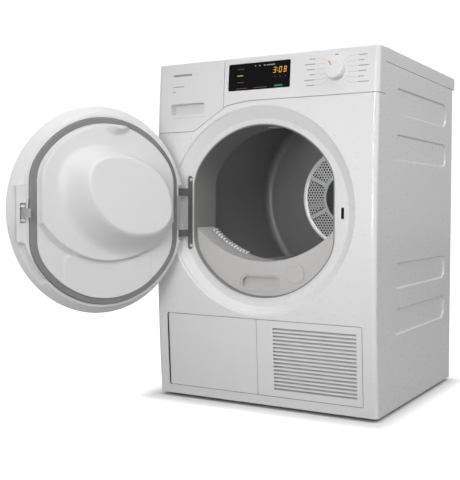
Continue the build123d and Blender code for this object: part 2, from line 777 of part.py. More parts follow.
def door_ring():
    """White outer ring of the door, notched for the hinge and pocketed for the latch."""
    with BuildPart() as door:
        with BuildSketch(Plane((DOOR_X, HINGE_Y, DOOR_Z), x_dir=(1, 0, 0), z_dir=(0, 0, 1))):
            with BuildLine():
                face = Polyline((196, 8), (196, -8), (235, -9))
                edge = RadiusArc(face @ 1, (DOOR_R, 0), -9.5)
                Polyline(edge @ 1, (226, 20), (219, 22), (202, 22), (202, 8), (196, 8))
            make_face()
        revolve(axis=Axis((DOOR_X, 0, DOOR_Z), (0, 1, 0)))
        add(porthole(DOOR_X, HOLE_Z, 218.4, 199.9, (deep(13.6), deep(40))), mode=Mode.SUBTRACT)
        hinge_zone = (HINGE_Z - 69, HINGE_Z + 69)
        add(bar((-260, -211.5), (deep(-30), deep(40)), hinge_zone), mode=Mode.SUBTRACT)
        add(bar((-212, -199.5), (deep(-3.3), deep(40)), (ARM_Z[0] - 0.5, ARM_Z[1] + 0.5)), mode=Mode.SUBTRACT)
        add(bar(INSERT_X, (deep(7.8), deep(40)), INSERT_Z, 3, "Y"), mode=Mode.SUBTRACT)
        with BuildSketch(Plane.XZ.offset(-deep(9))):
            with BuildLine(mode=Mode.PRIVATE):
                grip = CenterArc((DOOR_X, DOOR_Z), 228, -44, 24)
            SlotArc(grip, 13)
        extrude(amount=-40, mode=Mode.SUBTRACT)
    return door.part


def handle_insert():
    """Grey insert in the free edge of the door that carries the latch hook."""
    x = (INSERT_X[0] + 0.3, INSERT_X[1] - 0.3)
    z = (INSERT_Z[0] + 0.3, INSERT_Z[1] - 0.3)
    with BuildPart() as insert:
        add(bar(x, (deep(8), deep(21)), z, 2.6, "Y"))
        add(bar((x[0] - 1, 215), (deep(9.6), deep(30)), (LATCH_Z - 22, LATCH_Z + 22), 1.5, "Y"), mode=Mode.SUBTRACT)
        for low in (LATCH_Z - 18, LATCH_Z + 13):
            add(bar((x[0] + 1.5, 213), (deep(9.5), deep(19)), (low, low + 5)))
        add(post(LATCH_X - 1, deep(14), 2, (LATCH_Z - 19, LATCH_Z + 19)))
    return insert.part


def latch_hook():
    """Sprung hook that enters the slot in the front."""
    z = (LATCH_Z - 10, LATCH_Z + 10)
    with BuildPart() as hook:
        add(post(LATCH_X - 1, deep(14), 4, z))
        add(bar((LATCH_X - 2, LATCH_X + 1), (deep(14), deep(49)), z))
        add(bar((LATCH_X - 3, LATCH_X - 1), (deep(44), deep(49)), z))
        fillet(hook.edges().group_by(Axis.Y)[-1].filter_by(Axis.Z), 0.8)
        add(post(LATCH_X - 1, deep(14), 2 + RUNNING, (z[0] - 1, z[1] + 1)), mode=Mode.SUBTRACT)
    return hook.part


def door_seal():
    """Soft lip round the inner face, with straight flanks beside hinge and latch."""
    y = (deep(13.8), SEAL_FACE)
    with BuildPart() as seal:
        add(porthole(DOOR_X, HOLE_Z, 218, 199.5, y))
        fillet(seal.edges().group_by(Axis.Y)[-1], 3)
        add(porthole(DOOR_X, HOLE_Z, 204, 183, (y[0] - 1, y[1] + 1)), mode=Mode.SUBTRACT)
    return seal.part


def dome_limit(grow):
    """Region of the door's raised part: inside the opening and above the sill."""
    with BuildPart() as region:
        add(porthole(DOOR_X, HOLE_Z, 203 + grow, 182 + grow, (deep(0), deep(140))))
        add(rod(DOOR_X, DOOR_ARC_Z, DOOR_ARC_R + grow, (deep(-1), deep(141))), mode=Mode.INTERSECT)
    return region.part


def door_inner_panel():
    """Inner moulding: flat margin, raised disc above the sill and a deep dome."""
    with BuildPart() as panel:
        add(porthole(DOOR_X, HOLE_Z, 203.4, 182.4, (deep(14), deep(28.5))))
        with BuildPart(mode=Mode.PRIVATE) as disc:
            add(dome_limit(-2))
            add(bar((-260, 260), (deep(20), deep(43)), (200, 750)), mode=Mode.INTERSECT)
            fillet(disc.edges().group_by(Axis.Y)[-1], 2.5)
        add(disc.part)
        with BuildPart(mode=Mode.PRIVATE) as dome:
            with BuildSketch(Plane.XZ.offset(-deep(30))):
                with Locations((DOOR_X - 15, 500)):
                    RectangleRounded(322, 268, 104)
            with BuildSketch(Plane.XZ.offset(-deep(104))):
                with Locations((DOOR_X - 15, 519)):
                    RectangleRounded(232, 198, 62)
            loft()
            fillet(dome.edges().group_by(Axis.Y)[-1], 13)
            add(dome_limit(-6), mode=Mode.INTERSECT)
        add(dome.part)
        add(bar((DOOR_X - 50, DOOR_X + 18), (deep(28), deep(56)), (652, 676), 5, "Y"))
        with BuildPart(mode=Mode.PRIVATE) as hollow:
            with BuildSketch(Plane.XZ.offset(-deep(10))):
                with Locations((DOOR_X - 15, 503)):
                    RectangleRounded(312, 252, 98)
            with BuildSketch(Plane.XZ.offset(-deep(100.5))):
                with Locations((DOOR_X - 15, 519)):
                    RectangleRounded(224, 190, 58)
            loft()
            add(dome_limit(-10), mode=Mode.INTERSECT)
        add(hollow.part, mode=Mode.SUBTRACT)
    return panel.part


def door_front_cover():
    """Slightly domed outer disc inside the ring."""
    curve = 1744.0
    with BuildPart() as cover:
        add(rod(DOOR_X, DOOR_Z, 195.6, (deep(-21), deep(-4))))
        with BuildPart(Plane((DOOR_X, deep(-20) + curve, DOOR_Z)), mode=Mode.PRIVATE) as outer:
            Sphere(curve)
        add(outer.part, mode=Mode.INTERSECT)
        with BuildPart(Plane((DOOR_X, deep(-16) + curve, DOOR_Z)), mode=Mode.PRIVATE) as inner:
            Sphere(curve)
            add(rod(DOOR_X, DOOR_Z, 185, (deep(-30), deep(0))), mode=Mode.INTERSECT)
        add(inner.part, mode=Mode.SUBTRACT)
    return cover.part


def door_hinge_arm():
    """Light grey hinge leaf with its knuckle."""
    with BuildPart() as arm:
        add(post(HINGE_X, HINGE_Y, KNUCKLE_R, ARM_Z))
        add(bar((HINGE_X, -201.2), (deep(-3), deep(9)), ARM_Z))
        add(post(HINGE_X, HINGE_Y, PIN_R + RUNNING, (400, 560)), mode=Mode.SUBTRACT)
    return arm.part


save_open(door_ring(), "door_ring")
save_open(handle_insert(), "door_handle_insert")
save_open(latch_hook(), "latch_hook")
save_open(door_seal(), "door_seal")
save_open(door_inner_panel(), "door_inner_panel")
save_open(door_front_cover(), "door_front_cover")
save_open(door_hinge_arm(), "door_hinge_arm")

# ================================================================ condensate container
TANK_X = (-280.0, -114.0)
TANK_TOP = 799.0
TANK_Y = (-262.0, 195.0)


def tank_outline(inset):
    """Cross-section of the tank, cut away below where the drum is."""
    with BuildSketch(Plane.XZ.offset(-TANK_Y[1] + inset)) as outline:
        with BuildLine():
            Polyline(
                (TANK_X[0] + inset, 705 + inset),
                (TANK_X[0] + inset, TANK_TOP - inset),
                (TANK_X[1] - inset, TANK_TOP - inset),
                (TANK_X[1] - inset, 790 + inset * 1.2),
                (-236, 705 + inset * 1.2),
                close=True,
            )
        make_face()
    return outline.sketch


def container_front():
    left, right, low, high = GRIP
    with BuildPart() as cover:
        add(fascia_shell((-HALF - 5, SPLIT_X - 0.6)))
        pocket = bar((left - 3, right + 3), (-281, -255), (low - 3, high + 3), 8, "Y")
        add(pocket)
        opening = bar((left, right), (-300, -258), (low, high), 6, "Y")
        add(opening, mode=Mode.SUBTRACT)
    return cover.part


def container_tank():
    """Blow-moulded water tank with a finger pocket in front and a filling well on top."""
    with BuildPart() as tank:
        extrude(to_extrude=tank_outline(0), amount=TANK_Y[1] - TANK_Y[0] - 9)
        extrude(to_extrude=tank_outline(2), amount=TANK_Y[1] - TANK_Y[0] - 13, mode=Mode.SUBTRACT)
        add(post(-200, 150, 11, (TANK_TOP - 12, TANK_TOP)))
        add(post(-200, 150, 9, (TANK_TOP - 11, TANK_TOP + 1)), mode=Mode.SUBTRACT)
        add(post(-200, 150, 3, (TANK_TOP - 14, TANK_TOP)), mode=Mode.SUBTRACT)
        for x in (-270, -130):
            add(bar((x, x + 8), (-272.5, TANK_Y[0] + 9.5), (792, 797)))
    return tank.part


save(container_front(), "container_front")
save(container_tank(), "container_tank")


def container_guides():
    """Rail under the tank's outer edge and rail beside its inner edge, one group."""
    with BuildPart() as guides:
        add(bar((-290, -242), (-160, 190), (699, 704.3)))
        add(bar((-112.5, -106), (-160, 190), (790, 799)))
    return guides.part


save(container_guides(), "container_guides")


# ================================================================ drum
def drum_shell():
    """Drum with a turned-in front lip and a rear wall open in sectors between seven spokes."""
    outer = DRUM_R + DRUM_T
    with BuildPart() as shell:
        add(rod(DRUM_X, DRUM_Z, outer, (DRUM_FRONT, DRUM_REAR + DRUM_T)))
        fillet(shell.edges().filter_by(GeomType.CIRCLE).sort_by(Axis.Y)[-1], 22)
        fillet(shell.edges().filter_by(GeomType.CIRCLE).sort_by(Axis.Y)[0], 4)
        with BuildPart(mode=Mode.PRIVATE) as inside:
            add(rod(DRUM_X, DRUM_Z, DRUM_R, (DRUM_FRONT + DRUM_T, DRUM_REAR)))
            fillet(inside.edges().filter_by(GeomType.CIRCLE).sort_by(Axis.Y)[-1], 21)
            fillet(inside.edges().filter_by(GeomType.CIRCLE).sort_by(Axis.Y)[0], 3)
        add(inside.part, mode=Mode.SUBTRACT)
        add(rod(DRUM_X, DRUM_Z, 262, (DRUM_FRONT - 1, DRUM_FRONT + 3)), mode=Mode.SUBTRACT)
        add(rod(DRUM_X, DRUM_Z, 150, (DRUM_REAR, DRUM_REAR + 2.5)))
        with BuildSketch(Plane.XZ.offset(-DRUM_REAR - 4)):
            with Locations((DRUM_X, DRUM_Z)):
                Circle(PERF_OUT + 3)
                Circle(PERF_IN - 3, mode=Mode.SUBTRACT)
                with PolarLocations(0, SECTORS, start_angle=90):
                    with Locations((110, 0)):
                        Rectangle(90, 14, mode=Mode.SUBTRACT)
        extrude(amount=6, mode=Mode.SUBTRACT)
    return shell.part


def drum_air_disc():
    """Perforated steel disc with a raised rim and seven pressed ribs."""
    rows, pitch, hole = 7, 9.0, 2.8
    with BuildPart() as disc:
        with BuildSketch(Plane.XZ.offset(-DRUM_REAR + 0.5)):
            with Locations((DRUM_X, DRUM_Z)):
                Circle(150)
                for row in range(rows):
                    radius = PERF_IN + 3 + pitch * row
                    sector = 2 * pi / SECTORS
                    usable = sector * radius - 15
                    count = int(usable / (pitch * 1.06))
                    first = pi / 2 + sector / 2 - (count - 1) * pitch * 1.06 / radius / 2
                    for index in range(count):
                        turn = degrees(first + index * pitch * 1.06 / radius)
                        with PolarLocations(radius, SECTORS, start_angle=turn):
                            Circle(hole, mode=Mode.SUBTRACT)
        extrude(amount=1)
        add(ring(DRUM_X, DRUM_Z, 152, 147, (DRUM_REAR - 4, DRUM_REAR - 1.5)))
        with BuildSketch(Plane.XZ.offset(-DRUM_REAR + 1.5)):
            with Locations((DRUM_X, DRUM_Z)):
                with PolarLocations(0, SECTORS, start_angle=90):
                    with Locations((111, 0)):
                        Rectangle(66, 7)
        extrude(amount=2)
    return disc.part


def drum_hub():
    """Domed hub cover inside the drum with the stub shaft that carries it behind."""
    with BuildPart() as hub:
        add(rod(DRUM_X, DRUM_Z, 76, (DRUM_REAR - 9, DRUM_REAR - 1.5)))
        fillet(hub.edges().group_by(Axis.Y)[0], 5)
    return hub.part


def drum_shaft():
    with BuildPart() as shaft:
        add(rod(DRUM_X, DRUM_Z, 45, (DRUM_REAR + 2.5, DRUM_REAR + 5)))
        add(rod(DRUM_X, DRUM_Z, 10, (DRUM_REAR + 5, 309)))
        fillet(shaft.edges().filter_by(GeomType.CIRCLE).sort_by(Axis.Y)[-1], 1)
    return shaft.part


def drum_lifters():
    """Three hollow paddles that lift the load, one group."""
    with BuildPart() as lifters:
        for turn in (110, 230, 350):
            place = Plane(
                (DRUM_X, -130, DRUM_Z), x_dir=(-sin(radians(turn)), 0, cos(radians(turn))), z_dir=(0, 1, 0)
            )
            with BuildSketch(place):
                with BuildLine():
                    Polyline((-32, DRUM_R - 3), (-13, 236), (13, 236), (32, DRUM_R - 3), close=True)
                make_face()
            extrude(amount=365)
        crests = lifters.edges().filter_by(Axis.Y).filter_by(
            lambda e: hypot(e.center().X - DRUM_X, e.center().Z - DRUM_Z) < 240
        )
        fillet(crests, 11)
    return lifters.part


save(drum_shell(), "drum_shell")
save(drum_air_disc(), "drum_air_disc")
save(drum_hub(), "drum_hub_cover")
save(drum_shaft(), "drum_shaft")
save(drum_lifters(), "drum_lifters")


def bearing_carrier():
    """Cast spider behind the drum, bolted over the hole in the rear panel."""
    y = (288.0, 298.0)
    with BuildPart() as carrier:
        add(ring(DRUM_X, DRUM_Z, 172, 154, y))
        add(rod(DRUM_X, DRUM_Z, 30, (286, 299)))
        with BuildSketch(Plane.XZ.offset(-y[1])):
            with Locations((DRUM_X, DRUM_Z)):
                with PolarLocations(0, 3, start_angle=90):
                    with Locations((92, 0)):
                        Rectangle(134, 22)
        extrude(amount=y[1] - y[0])
        add(rod(DRUM_X, DRUM_Z, 21, (285, 300)), mode=Mode.SUBTRACT)
    return carrier.part


save(bearing_carrier(), "bearing_carrier")
save(ring(DRUM_X, DRUM_Z, 21, 10 + RUNNING, (286.5, 298.5)), "drum_bearing")

# ================================================================ drive
PULLEY_Y = (BELT_Y - 7, BELT_Y + 7)


def loop_face(grow):
    """Outline of the belt's path round drum and pulley, grown outwards."""
    big = DRUM_R + DRUM_T + grow
    small = PULLEY_R + grow
    run_x, run_z = MOTOR_X - DRUM_X, MOTOR_Z - DRUM_Z
    heading = atan2(run_z, run_x)
    spread = pi / 2 - asin((big - small) / hypot(run_x, run_z))
    corners = []
    for sign in (1, -1):
        turn = heading + sign * spread
        near = (DRUM_X + big * cos(turn), DRUM_Z + big * sin(turn))
        far = (MOTOR_X + small * cos(turn), MOTOR_Z + small * sin(turn))
        corners += [near, far] if sign == 1 else [far, near]
    with BuildSketch(Plane.XZ.offset(-BELT_Y - BELT_W / 2)) as outline:
        with Locations((DRUM_X, DRUM_Z)):
            Circle(big)
        with Locations((MOTOR_X, MOTOR_Z)):
            Circle(small)
        with BuildLine():
            Polyline(*corners, close=True)
        make_face()
    return outline.sketch


def drive_belt():
    with BuildPart() as belt:
        extrude(to_extrude=loop_face(0.3 + BELT_T), amount=BELT_W)
        extrude(to_extrude=loop_face(0.3), amount=BELT_W, mode=Mode.SUBTRACT)
    return belt.part


save(drive_belt(), "drive_belt")


def motor_housing():
    """Motor can with end bells, cooling slots and a mounting foot."""
    with BuildPart() as motor:
        add(rod(MOTOR_X, MOTOR_Z, 58, (-96, 36)))
        fillet(motor.edges().filter_by(GeomType.CIRCLE), 6)
        add(rod(MOTOR_X, MOTOR_Z, 18, (-104, 44)))
        add(bar((MOTOR_X - 70, MOTOR_X + 70), (-80, 20), (23.2, 34)))
        add(bar((MOTOR_X - 40, MOTOR_X + 40), (-80, 20), (33, 80)))
        add(rod(MOTOR_X, MOTOR_Z, 6 + RUNNING, (-110, 50)), mode=Mode.SUBTRACT)
        with BuildSketch(Plane.XZ.offset(-12)):
            with Locations((MOTOR_X, MOTOR_Z)):
                with PolarLocations(52, 12):
                    SlotOverall(18, 4)
        extrude(amount=84, mode=Mode.SUBTRACT)
    return motor.part


def motor_shaft():
    with BuildPart() as shaft:
        add(rod(MOTOR_X, MOTOR_Z, 6, (-172, 102)))
        add(rod(MOTOR_X, MOTOR_Z, PULLEY_R, PULLEY_Y))
        add(rod(MOTOR_X, MOTOR_Z, PULLEY_R + 5, (PULLEY_Y[0] - 3, PULLEY_Y[0])))
        add(rod(MOTOR_X, MOTOR_Z, PULLEY_R + 5, (PULLEY_Y[1], PULLEY_Y[1] + 3)))
    return shaft.part


def process_fan():
    """Blower wheel with forward blades between a back plate and a ring."""
    with BuildPart() as fan:
        add(ring(MOTOR_X, MOTOR_Z, 66, 6, (-130, -127.5)))
        add(ring(MOTOR_X, MOTOR_Z, 16, 6, (-150, -129)))
        add(ring(MOTOR_X, MOTOR_Z, 66, 58, (-162, -159)))
        with BuildSketch(Plane.XZ.offset(129)):
            with Locations((MOTOR_X, MOTOR_Z)):
                with PolarLocations(61.5, 24):
                    Rectangle(9.5, 2, rotation=28)
        extrude(amount=31)
    return fan.part


def fan_housing():
    """Round blower case, open to the front in the middle and upwards at its outlet."""
    with BuildPart() as case:
        add(rod(MOTOR_X, MOTOR_Z, 80, (-168, -122)))
        add(bar((MOTOR_X - 80, MOTOR_X - 20), (-168, -122), (MOTOR_Z, MOTOR_Z + 88)))
        add(rod(MOTOR_X, MOTOR_Z, 76, (-165.5, -124.5)), mode=Mode.SUBTRACT)
        add(bar((MOTOR_X - 76, MOTOR_X - 24), (-165.5, -124.5), (MOTOR_Z, MOTOR_Z + 90)), mode=Mode.SUBTRACT)
        add(rod(MOTOR_X, MOTOR_Z, 48, (-170, -160)), mode=Mode.SUBTRACT)
        add(rod(MOTOR_X, MOTOR_Z, 19, (-126, -120)), mode=Mode.SUBTRACT)
    return case.part


def idler_pulley():
    """Small wheel that presses on the slack run of the belt from outside."""
    with BuildPart() as idler:
        add(rod(IDLER_X, IDLER_Z, IDLER_R, (BELT_Y - 8, BELT_Y + 8)))
        add(rod(IDLER_X, IDLER_Z, 4, (BELT_Y - 24, BELT_Y + 9)))
    return idler.part


save(motor_housing(), "motor_housing")
save(motor_shaft(), "motor_shaft")
save(process_fan(), "process_fan")
save(fan_housing(), "fan_housing")
save(idler_pulley(), "idler_pulley")


# ================================================================ heat pump
def finned_coil(y, tubes):
    """Stack of fins between end plates, threaded on horizontal tubes."""
    with BuildPart() as coil:
        for index in range(22):
            x = -266 + 10 * index
            add(bar((x, x + (2.5 if index in (0, 21) else 1.2)), y, (52, 200)))
        for row in range(tubes):
            for column in (0.3, 0.7):
                add(rod_across((-272, -50), y[0] + (y[1] - y[0]) * column, 68 + 116 * row / (tubes - 1), 4))
    return coil.part


def rod_across(x, y, z, radius):
    """Cylinder lying left to right between two x values."""
    with BuildPart() as cylinder:
        with BuildSketch(Plane.YZ.offset(x[0])):
            with Locations((y, z)):
                Circle(radius)
        extrude(amount=x[1] - x[0])
    return cylinder.part


def exchanger_cover():
    """Moulded hood over both coils, open to the front behind the flap."""
    with BuildPart() as hood:
        add(bar((-284, -44), (-226, 34), (48, 220), 6, "Y"))
        add(bar((-281.5, -46.5), (-230, 31.5), (40, 217.5)), mode=Mode.SUBTRACT)
    return hood.part


def compressor():
    """Sealed capsule on three feet."""
    with BuildPart() as capsule:
        add(post(COMPRESSOR_X, COMPRESSOR_Y, 58, (44, 186)))
        fillet(capsule.edges().filter_by(GeomType.CIRCLE), 24)
        add(post(COMPRESSOR_X, COMPRESSOR_Y, 60, (112, 116)))
        with BuildSketch(Plane.XY.offset(23.2)):
            with Locations((COMPRESSOR_X, COMPRESSOR_Y)):
                Circle(40)
                with PolarLocations(46, 3):
                    Circle(17)
        extrude(amount=25)
    return capsule.part


def refrigerant_pipe():
    """Copper line from the compressor to the condenser."""
    start = (COMPRESSOR_X, COMPRESSOR_Y)
    points = [(*start, 186.2), (*start, 206), (60, 215, 206), (5, 215, 190), (5, 215, 74), (5, 5, 74), (-43, 5, 74)]
    with BuildPart() as pipe:
        with BuildLine() as path:
            FilletPolyline(*points, radius=9)
        with BuildSketch(Plane(path.line @ 0, z_dir=(0, 0, 1))):
            Circle(4)
        sweep()
    return pipe.part


save(finned_coil((-196, -106), 5), "evaporator")
save(finned_coil((-86, 18), 5), "condenser")
save(exchanger_cover(), "heat_exchanger_cover")
save(compressor(), "compressor")
save(refrigerant_pipe(), "refrigerant_pipe")


def condensate_pump():
    with BuildPart() as pump:
        add(bar((-220, -160), (185, 245), (23.2, 74), 6, "Z"))
        add(post(-190, 215, 20, (74, 96)))
        add(post(-190, 215, 5, (96, 112)))
    return pump.part


def drain_spigot():
    """Hose tail at the rear for a direct drain."""
    with BuildPart() as spigot:
        add(rod(-245, 90, 13, (REAR_Y, REAR_Y + 2.5)))
        add(rod(-245, 90, 7, (REAR_Y - 20, REAR_Y + 20)))
        add(rod(-245, 90, 4.5, (REAR_Y - 21, REAR_Y + 21)), mode=Mode.SUBTRACT)
    return spigot.part


def cord_gland():
    """Gland in the rear panel where the mains lead enters."""
    with BuildPart() as gland:
        add(rod(266, 90, 13, (REAR_Y, REAR_Y + 6)))
        add(rod(266, 90, 9.5, (REAR_Y - 14, REAR_Y + 1)))
        add(rod(266, 90, 4.2, (REAR_Y - 15, REAR_Y + 7)), mode=Mode.SUBTRACT)
    return gland.part


save(condensate_pump(), "condensate_pump")
save(drain_spigot(), "drain_spigot")
save(cord_gland(), "cord_gland")
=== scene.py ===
"""Clothes dryer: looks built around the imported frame. Metres, +Z up, the front faces -Y."""
import json
import math

import bmesh
import bpy
from mathutils import Matrix, Vector


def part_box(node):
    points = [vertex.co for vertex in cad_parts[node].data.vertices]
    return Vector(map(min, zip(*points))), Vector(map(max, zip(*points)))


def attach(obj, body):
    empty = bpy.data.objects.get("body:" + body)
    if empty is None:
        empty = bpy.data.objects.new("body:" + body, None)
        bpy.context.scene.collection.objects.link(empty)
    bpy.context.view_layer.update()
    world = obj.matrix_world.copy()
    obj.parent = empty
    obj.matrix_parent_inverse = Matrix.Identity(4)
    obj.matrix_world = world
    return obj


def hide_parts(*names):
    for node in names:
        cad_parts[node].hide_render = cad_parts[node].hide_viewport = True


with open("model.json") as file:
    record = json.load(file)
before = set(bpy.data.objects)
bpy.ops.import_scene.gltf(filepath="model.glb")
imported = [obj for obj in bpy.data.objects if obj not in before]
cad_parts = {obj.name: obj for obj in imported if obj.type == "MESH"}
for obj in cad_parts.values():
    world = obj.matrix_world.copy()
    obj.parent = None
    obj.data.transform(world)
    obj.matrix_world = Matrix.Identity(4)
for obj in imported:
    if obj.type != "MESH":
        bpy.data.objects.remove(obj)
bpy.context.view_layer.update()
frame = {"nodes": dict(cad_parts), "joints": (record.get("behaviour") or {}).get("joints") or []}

# ---------------------------------------------------------------- places taken from the frame
JOINTS = {joint["name"]: joint for joint in frame["joints"]}
PANEL_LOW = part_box("front_panel")[0]
TUNNEL_LOW, TUNNEL_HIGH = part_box("loading_tunnel")
WINDOW_LOW, WINDOW_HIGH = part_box("display_window")
KNOB_LOW, KNOB_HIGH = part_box("program_knob")
CONTAINER_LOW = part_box("container_front")[0]
MID_X = (TUNNEL_LOW[0] + TUNNEL_HIGH[0]) / 2
FOOT_X, FOOT_Y = 0.255, 0.205  # the middle of the cabinet's floor print, seen from the origin
KNOB_X = (KNOB_LOW[0] + KNOB_HIGH[0]) / 2
KNOB_Z = 0.800

# ---------------------------------------------------------------- the bowed front
BOW_R = 4.763
BOW_Z = 0.440
BOW_Y = PANEL_LOW[1]


def front_y(z):
    """Where the bowed front face lies at height z."""
    return BOW_Y + BOW_R - math.sqrt(BOW_R**2 - (z - BOW_Z) ** 2)


# ---------------------------------------------------------------- mesh helpers
def add_object(name, mesh, material, body, smooth=True):
    """A mesh object that rides a body and takes a material."""
    piece = bpy.data.objects.new(name, mesh)
    bpy.context.scene.collection.objects.link(piece)
    mesh.materials.append(material)
    for face in mesh.polygons:
        face.use_smooth = smooth
    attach(piece, body)
    return piece


def mesh_from(name, bm):
    """Turns a bmesh into a mesh with its faces looking outward."""
    mesh = bpy.data.meshes.new(name)
    bmesh.ops.recalc_face_normals(bm, faces=bm.faces)
    bm.to_mesh(mesh)
    bm.free()
    return mesh


def slab_on_front(bm, outline, proud, sunk, place=None):
    """Thin plate with the given (x, z) outline that follows the front face."""
    place = place or (lambda x, z, off: (x, front_y(z) - off, z))
    top = [bm.verts.new(place(x, z, proud)) for x, z in outline]
    base = [bm.verts.new(place(x, z, -sunk)) for x, z in outline]
    bm.faces.new(top)
    bm.faces.new(base[::-1])
    for i in range(len(outline)):
        j = (i + 1) % len(outline)
        bm.faces.new((top[i], base[i], base[j], top[j]))


def bar_outline(x, z, width, height, slant=0.0):
    return [
        (x, z),
        (x + width, z),
        (x + width + slant, z + height),
        (x + slant, z + height),
    ]


def rounded_outline(x, z, width, height, radius, steps=5):
    points = []
    corners = ((width, 0, -90), (width, height, 0), (0, height, 90), (0, 0, 180))
    for cx, cz, start in corners:
        ox = x + cx - math.copysign(radius, cx - width / 2)
        oz = z + cz - math.copysign(radius, cz - height / 2)
        for k in range(steps + 1):
            turn = math.radians(start + 90 * k / steps)
            points.append((ox + radius * math.cos(turn), oz + radius * math.sin(turn)))
    return points


def path_outline(points, width):
    """Outline of a thin band of constant width along (x, z) points."""
    left, right = [], []
    for i, (x, z) in enumerate(points):
        before = Vector(points[max(i - 1, 0)])
        after = Vector(points[min(i + 1, len(points) - 1)])
        along = (after - before).normalized()
        side = Vector((-along.y, along.x)) * width / 2
        left.append((x + side.x, z + side.y))
        right.append((x - side.x, z - side.y))
    return left, right


def band_on_front(bm, points, width, proud=0.00012, sunk=0.0004, place=None):
    """Ribbon of quads along a path on the front."""
    place = place or (lambda x, z, off: (x, front_y(z) - off, z))
    left, right = path_outline(points, width)
    rows = []
    for (lx, lz), (rx, rz) in zip(left, right):
        rows.append(
            [
                bm.verts.new(place(lx, lz, proud)),
                bm.verts.new(place(rx, rz, proud)),
                bm.verts.new(place(rx, rz, -sunk)),
                bm.verts.new(place(lx, lz, -sunk)),
            ]
        )
    for a, b in zip(rows, rows[1:]):
        for k in range(4):
            j = (k + 1) % 4
            bm.faces.new((a[k], a[j], b[j], b[k]))
    bm.faces.new(rows[0][::-1])
    bm.faces.new(rows[-1])


# ---------------------------------------------------------------- materials
def base_material(name, color, roughness, metallic=0.0):
    """A material with its plain values set, and its shader."""
    material = bpy.data.materials.new(name)
    material.use_nodes = True
    shader = material.node_tree.nodes["Principled BSDF"]
    shader.inputs["Base Color"].default_value = (*color, 1)
    shader.inputs["Roughness"].default_value = roughness
    shader.inputs["Metallic"].default_value = metallic
    return material, shader


def add_noise(material, scale, stretch=(1, 1, 1), detail=3.0, turn=(0, 0, 0)):
    """Noise in the object's own space, stretched along its axes."""
    nodes, links = material.node_tree.nodes, material.node_tree.links
    coords = nodes.new("ShaderNodeTexCoord")
    mapping = nodes.new("ShaderNodeMapping")
    mapping.inputs["Scale"].default_value = stretch
    mapping.inputs["Rotation"].default_value = turn
    noise = nodes.new("ShaderNodeTexNoise")
    noise.inputs["Scale"].default_value = scale
    noise.inputs["Detail"].default_value = detail
    links.new(coords.outputs["Object"], mapping.inputs["Vector"])
    links.new(mapping.outputs["Vector"], noise.inputs["Vector"])
    return noise.outputs["Fac"]


def spread(material, source, low, high, socket, shader):
    """Feeds a noise value, mapped to low..high, into a shader socket."""
    nodes, links = material.node_tree.nodes, material.node_tree.links
    ramp = nodes.new("ShaderNodeMapRange")
    ramp.clamp = False
    ramp.inputs["From Min"].default_value = 0.3
    ramp.inputs["From Max"].default_value = 0.7
    ramp.inputs["To Min"].default_value = low
    ramp.inputs["To Max"].default_value = high
    links.new(source, ramp.inputs["Value"])
    links.new(ramp.outputs["Result"], shader.inputs[socket])


def tint(material, source, dark, light, shader):
    """Lets a noise value shift the base colour between two tones."""
    nodes, links = material.node_tree.nodes, material.node_tree.links
    ramp = nodes.new("ShaderNodeValToRGB")
    ramp.color_ramp.elements[0].position = 0.15
    ramp.color_ramp.elements[0].color = (*dark, 1)
    ramp.color_ramp.elements[1].position = 0.85
    ramp.color_ramp.elements[1].color = (*light, 1)
    links.new(source, ramp.inputs["Fac"])
    links.new(ramp.outputs["Color"], shader.inputs["Base Color"])


def relief(material, sources, shader):
    """Chains bumps: each source is (value, strength, distance)."""
    nodes, links = material.node_tree.nodes, material.node_tree.links
    previous = None
    for value, strength, distance in sources:
        bump = nodes.new("ShaderNodeBump")
        bump.inputs["Strength"].default_value = strength
        bump.inputs["Distance"].default_value = distance
        links.new(value, bump.inputs["Height"])
        if previous:
            links.new(previous, bump.inputs["Normal"])
        previous = bump.outputs["Normal"]
    links.new(previous, shader.inputs["Normal"])


def moulded(name, color, roughness, grain=0.12, coarse=900, coat=0.0):
    """Moulded plastic: faint cloudiness, fine grain and uneven gloss."""
    material, shader = base_material(name, color, roughness)
    cloud = add_noise(material, 6)
    fine = add_noise(material, coarse, detail=2)
    smear = add_noise(material, 28, (1, 1, 2.5), detail=5)
    tint(material, cloud, tuple(c * 0.975 for c in color), tuple(min(c * 1.02, 1) for c in color), shader)
    spread(material, smear, roughness * 0.88, min(roughness * 1.14, 1), "Roughness", shader)
    relief(material, [(fine, grain, 0.0004)], shader)
    shader.inputs["Coat Weight"].default_value = coat
    shader.inputs["Coat Roughness"].default_value = 0.12
    return material


def enamel(name, color, roughness=0.28):
    """Stove-enamelled sheet: orange peel and a thin clear gloss."""
    material, shader = base_material(name, color, roughness)
    cloud = add_noise(material, 60, detail=5)
    peel = add_noise(material, 260, detail=1.5)
    smear = add_noise(material, 90, (1, 1, 2), detail=3)
    tint(material, cloud, tuple(c * 0.994 for c in color), tuple(min(c * 1.006, 1) for c in color), shader)
    spread(material, smear, roughness * 0.97, roughness * 1.03, "Roughness", shader)
    relief(material, [(peel, 0.010, 0.0001)], shader)
    shader.inputs["Coat Weight"].default_value = 0.25
    shader.inputs["Coat Roughness"].default_value = 0.1
    return material


def brushed(name, color, roughness, stretch, scale=160, metallic=1.0, depth=0.08):
    """Sheet metal with fine drawn lines along one direction."""
    material, shader = base_material(name, color, roughness, metallic)
    lines = add_noise(material, scale, stretch, detail=6)
    cloud = add_noise(material, 7, detail=4)
    tint(material, cloud, tuple(c * 0.9 for c in color), tuple(min(c * 1.08, 1) for c in color), shader)
    spread(material, lines, roughness * 0.75, min(roughness * 1.3, 1), "Roughness", shader)
    relief(material, [(lines, depth, 0.0005)], shader)
    return material


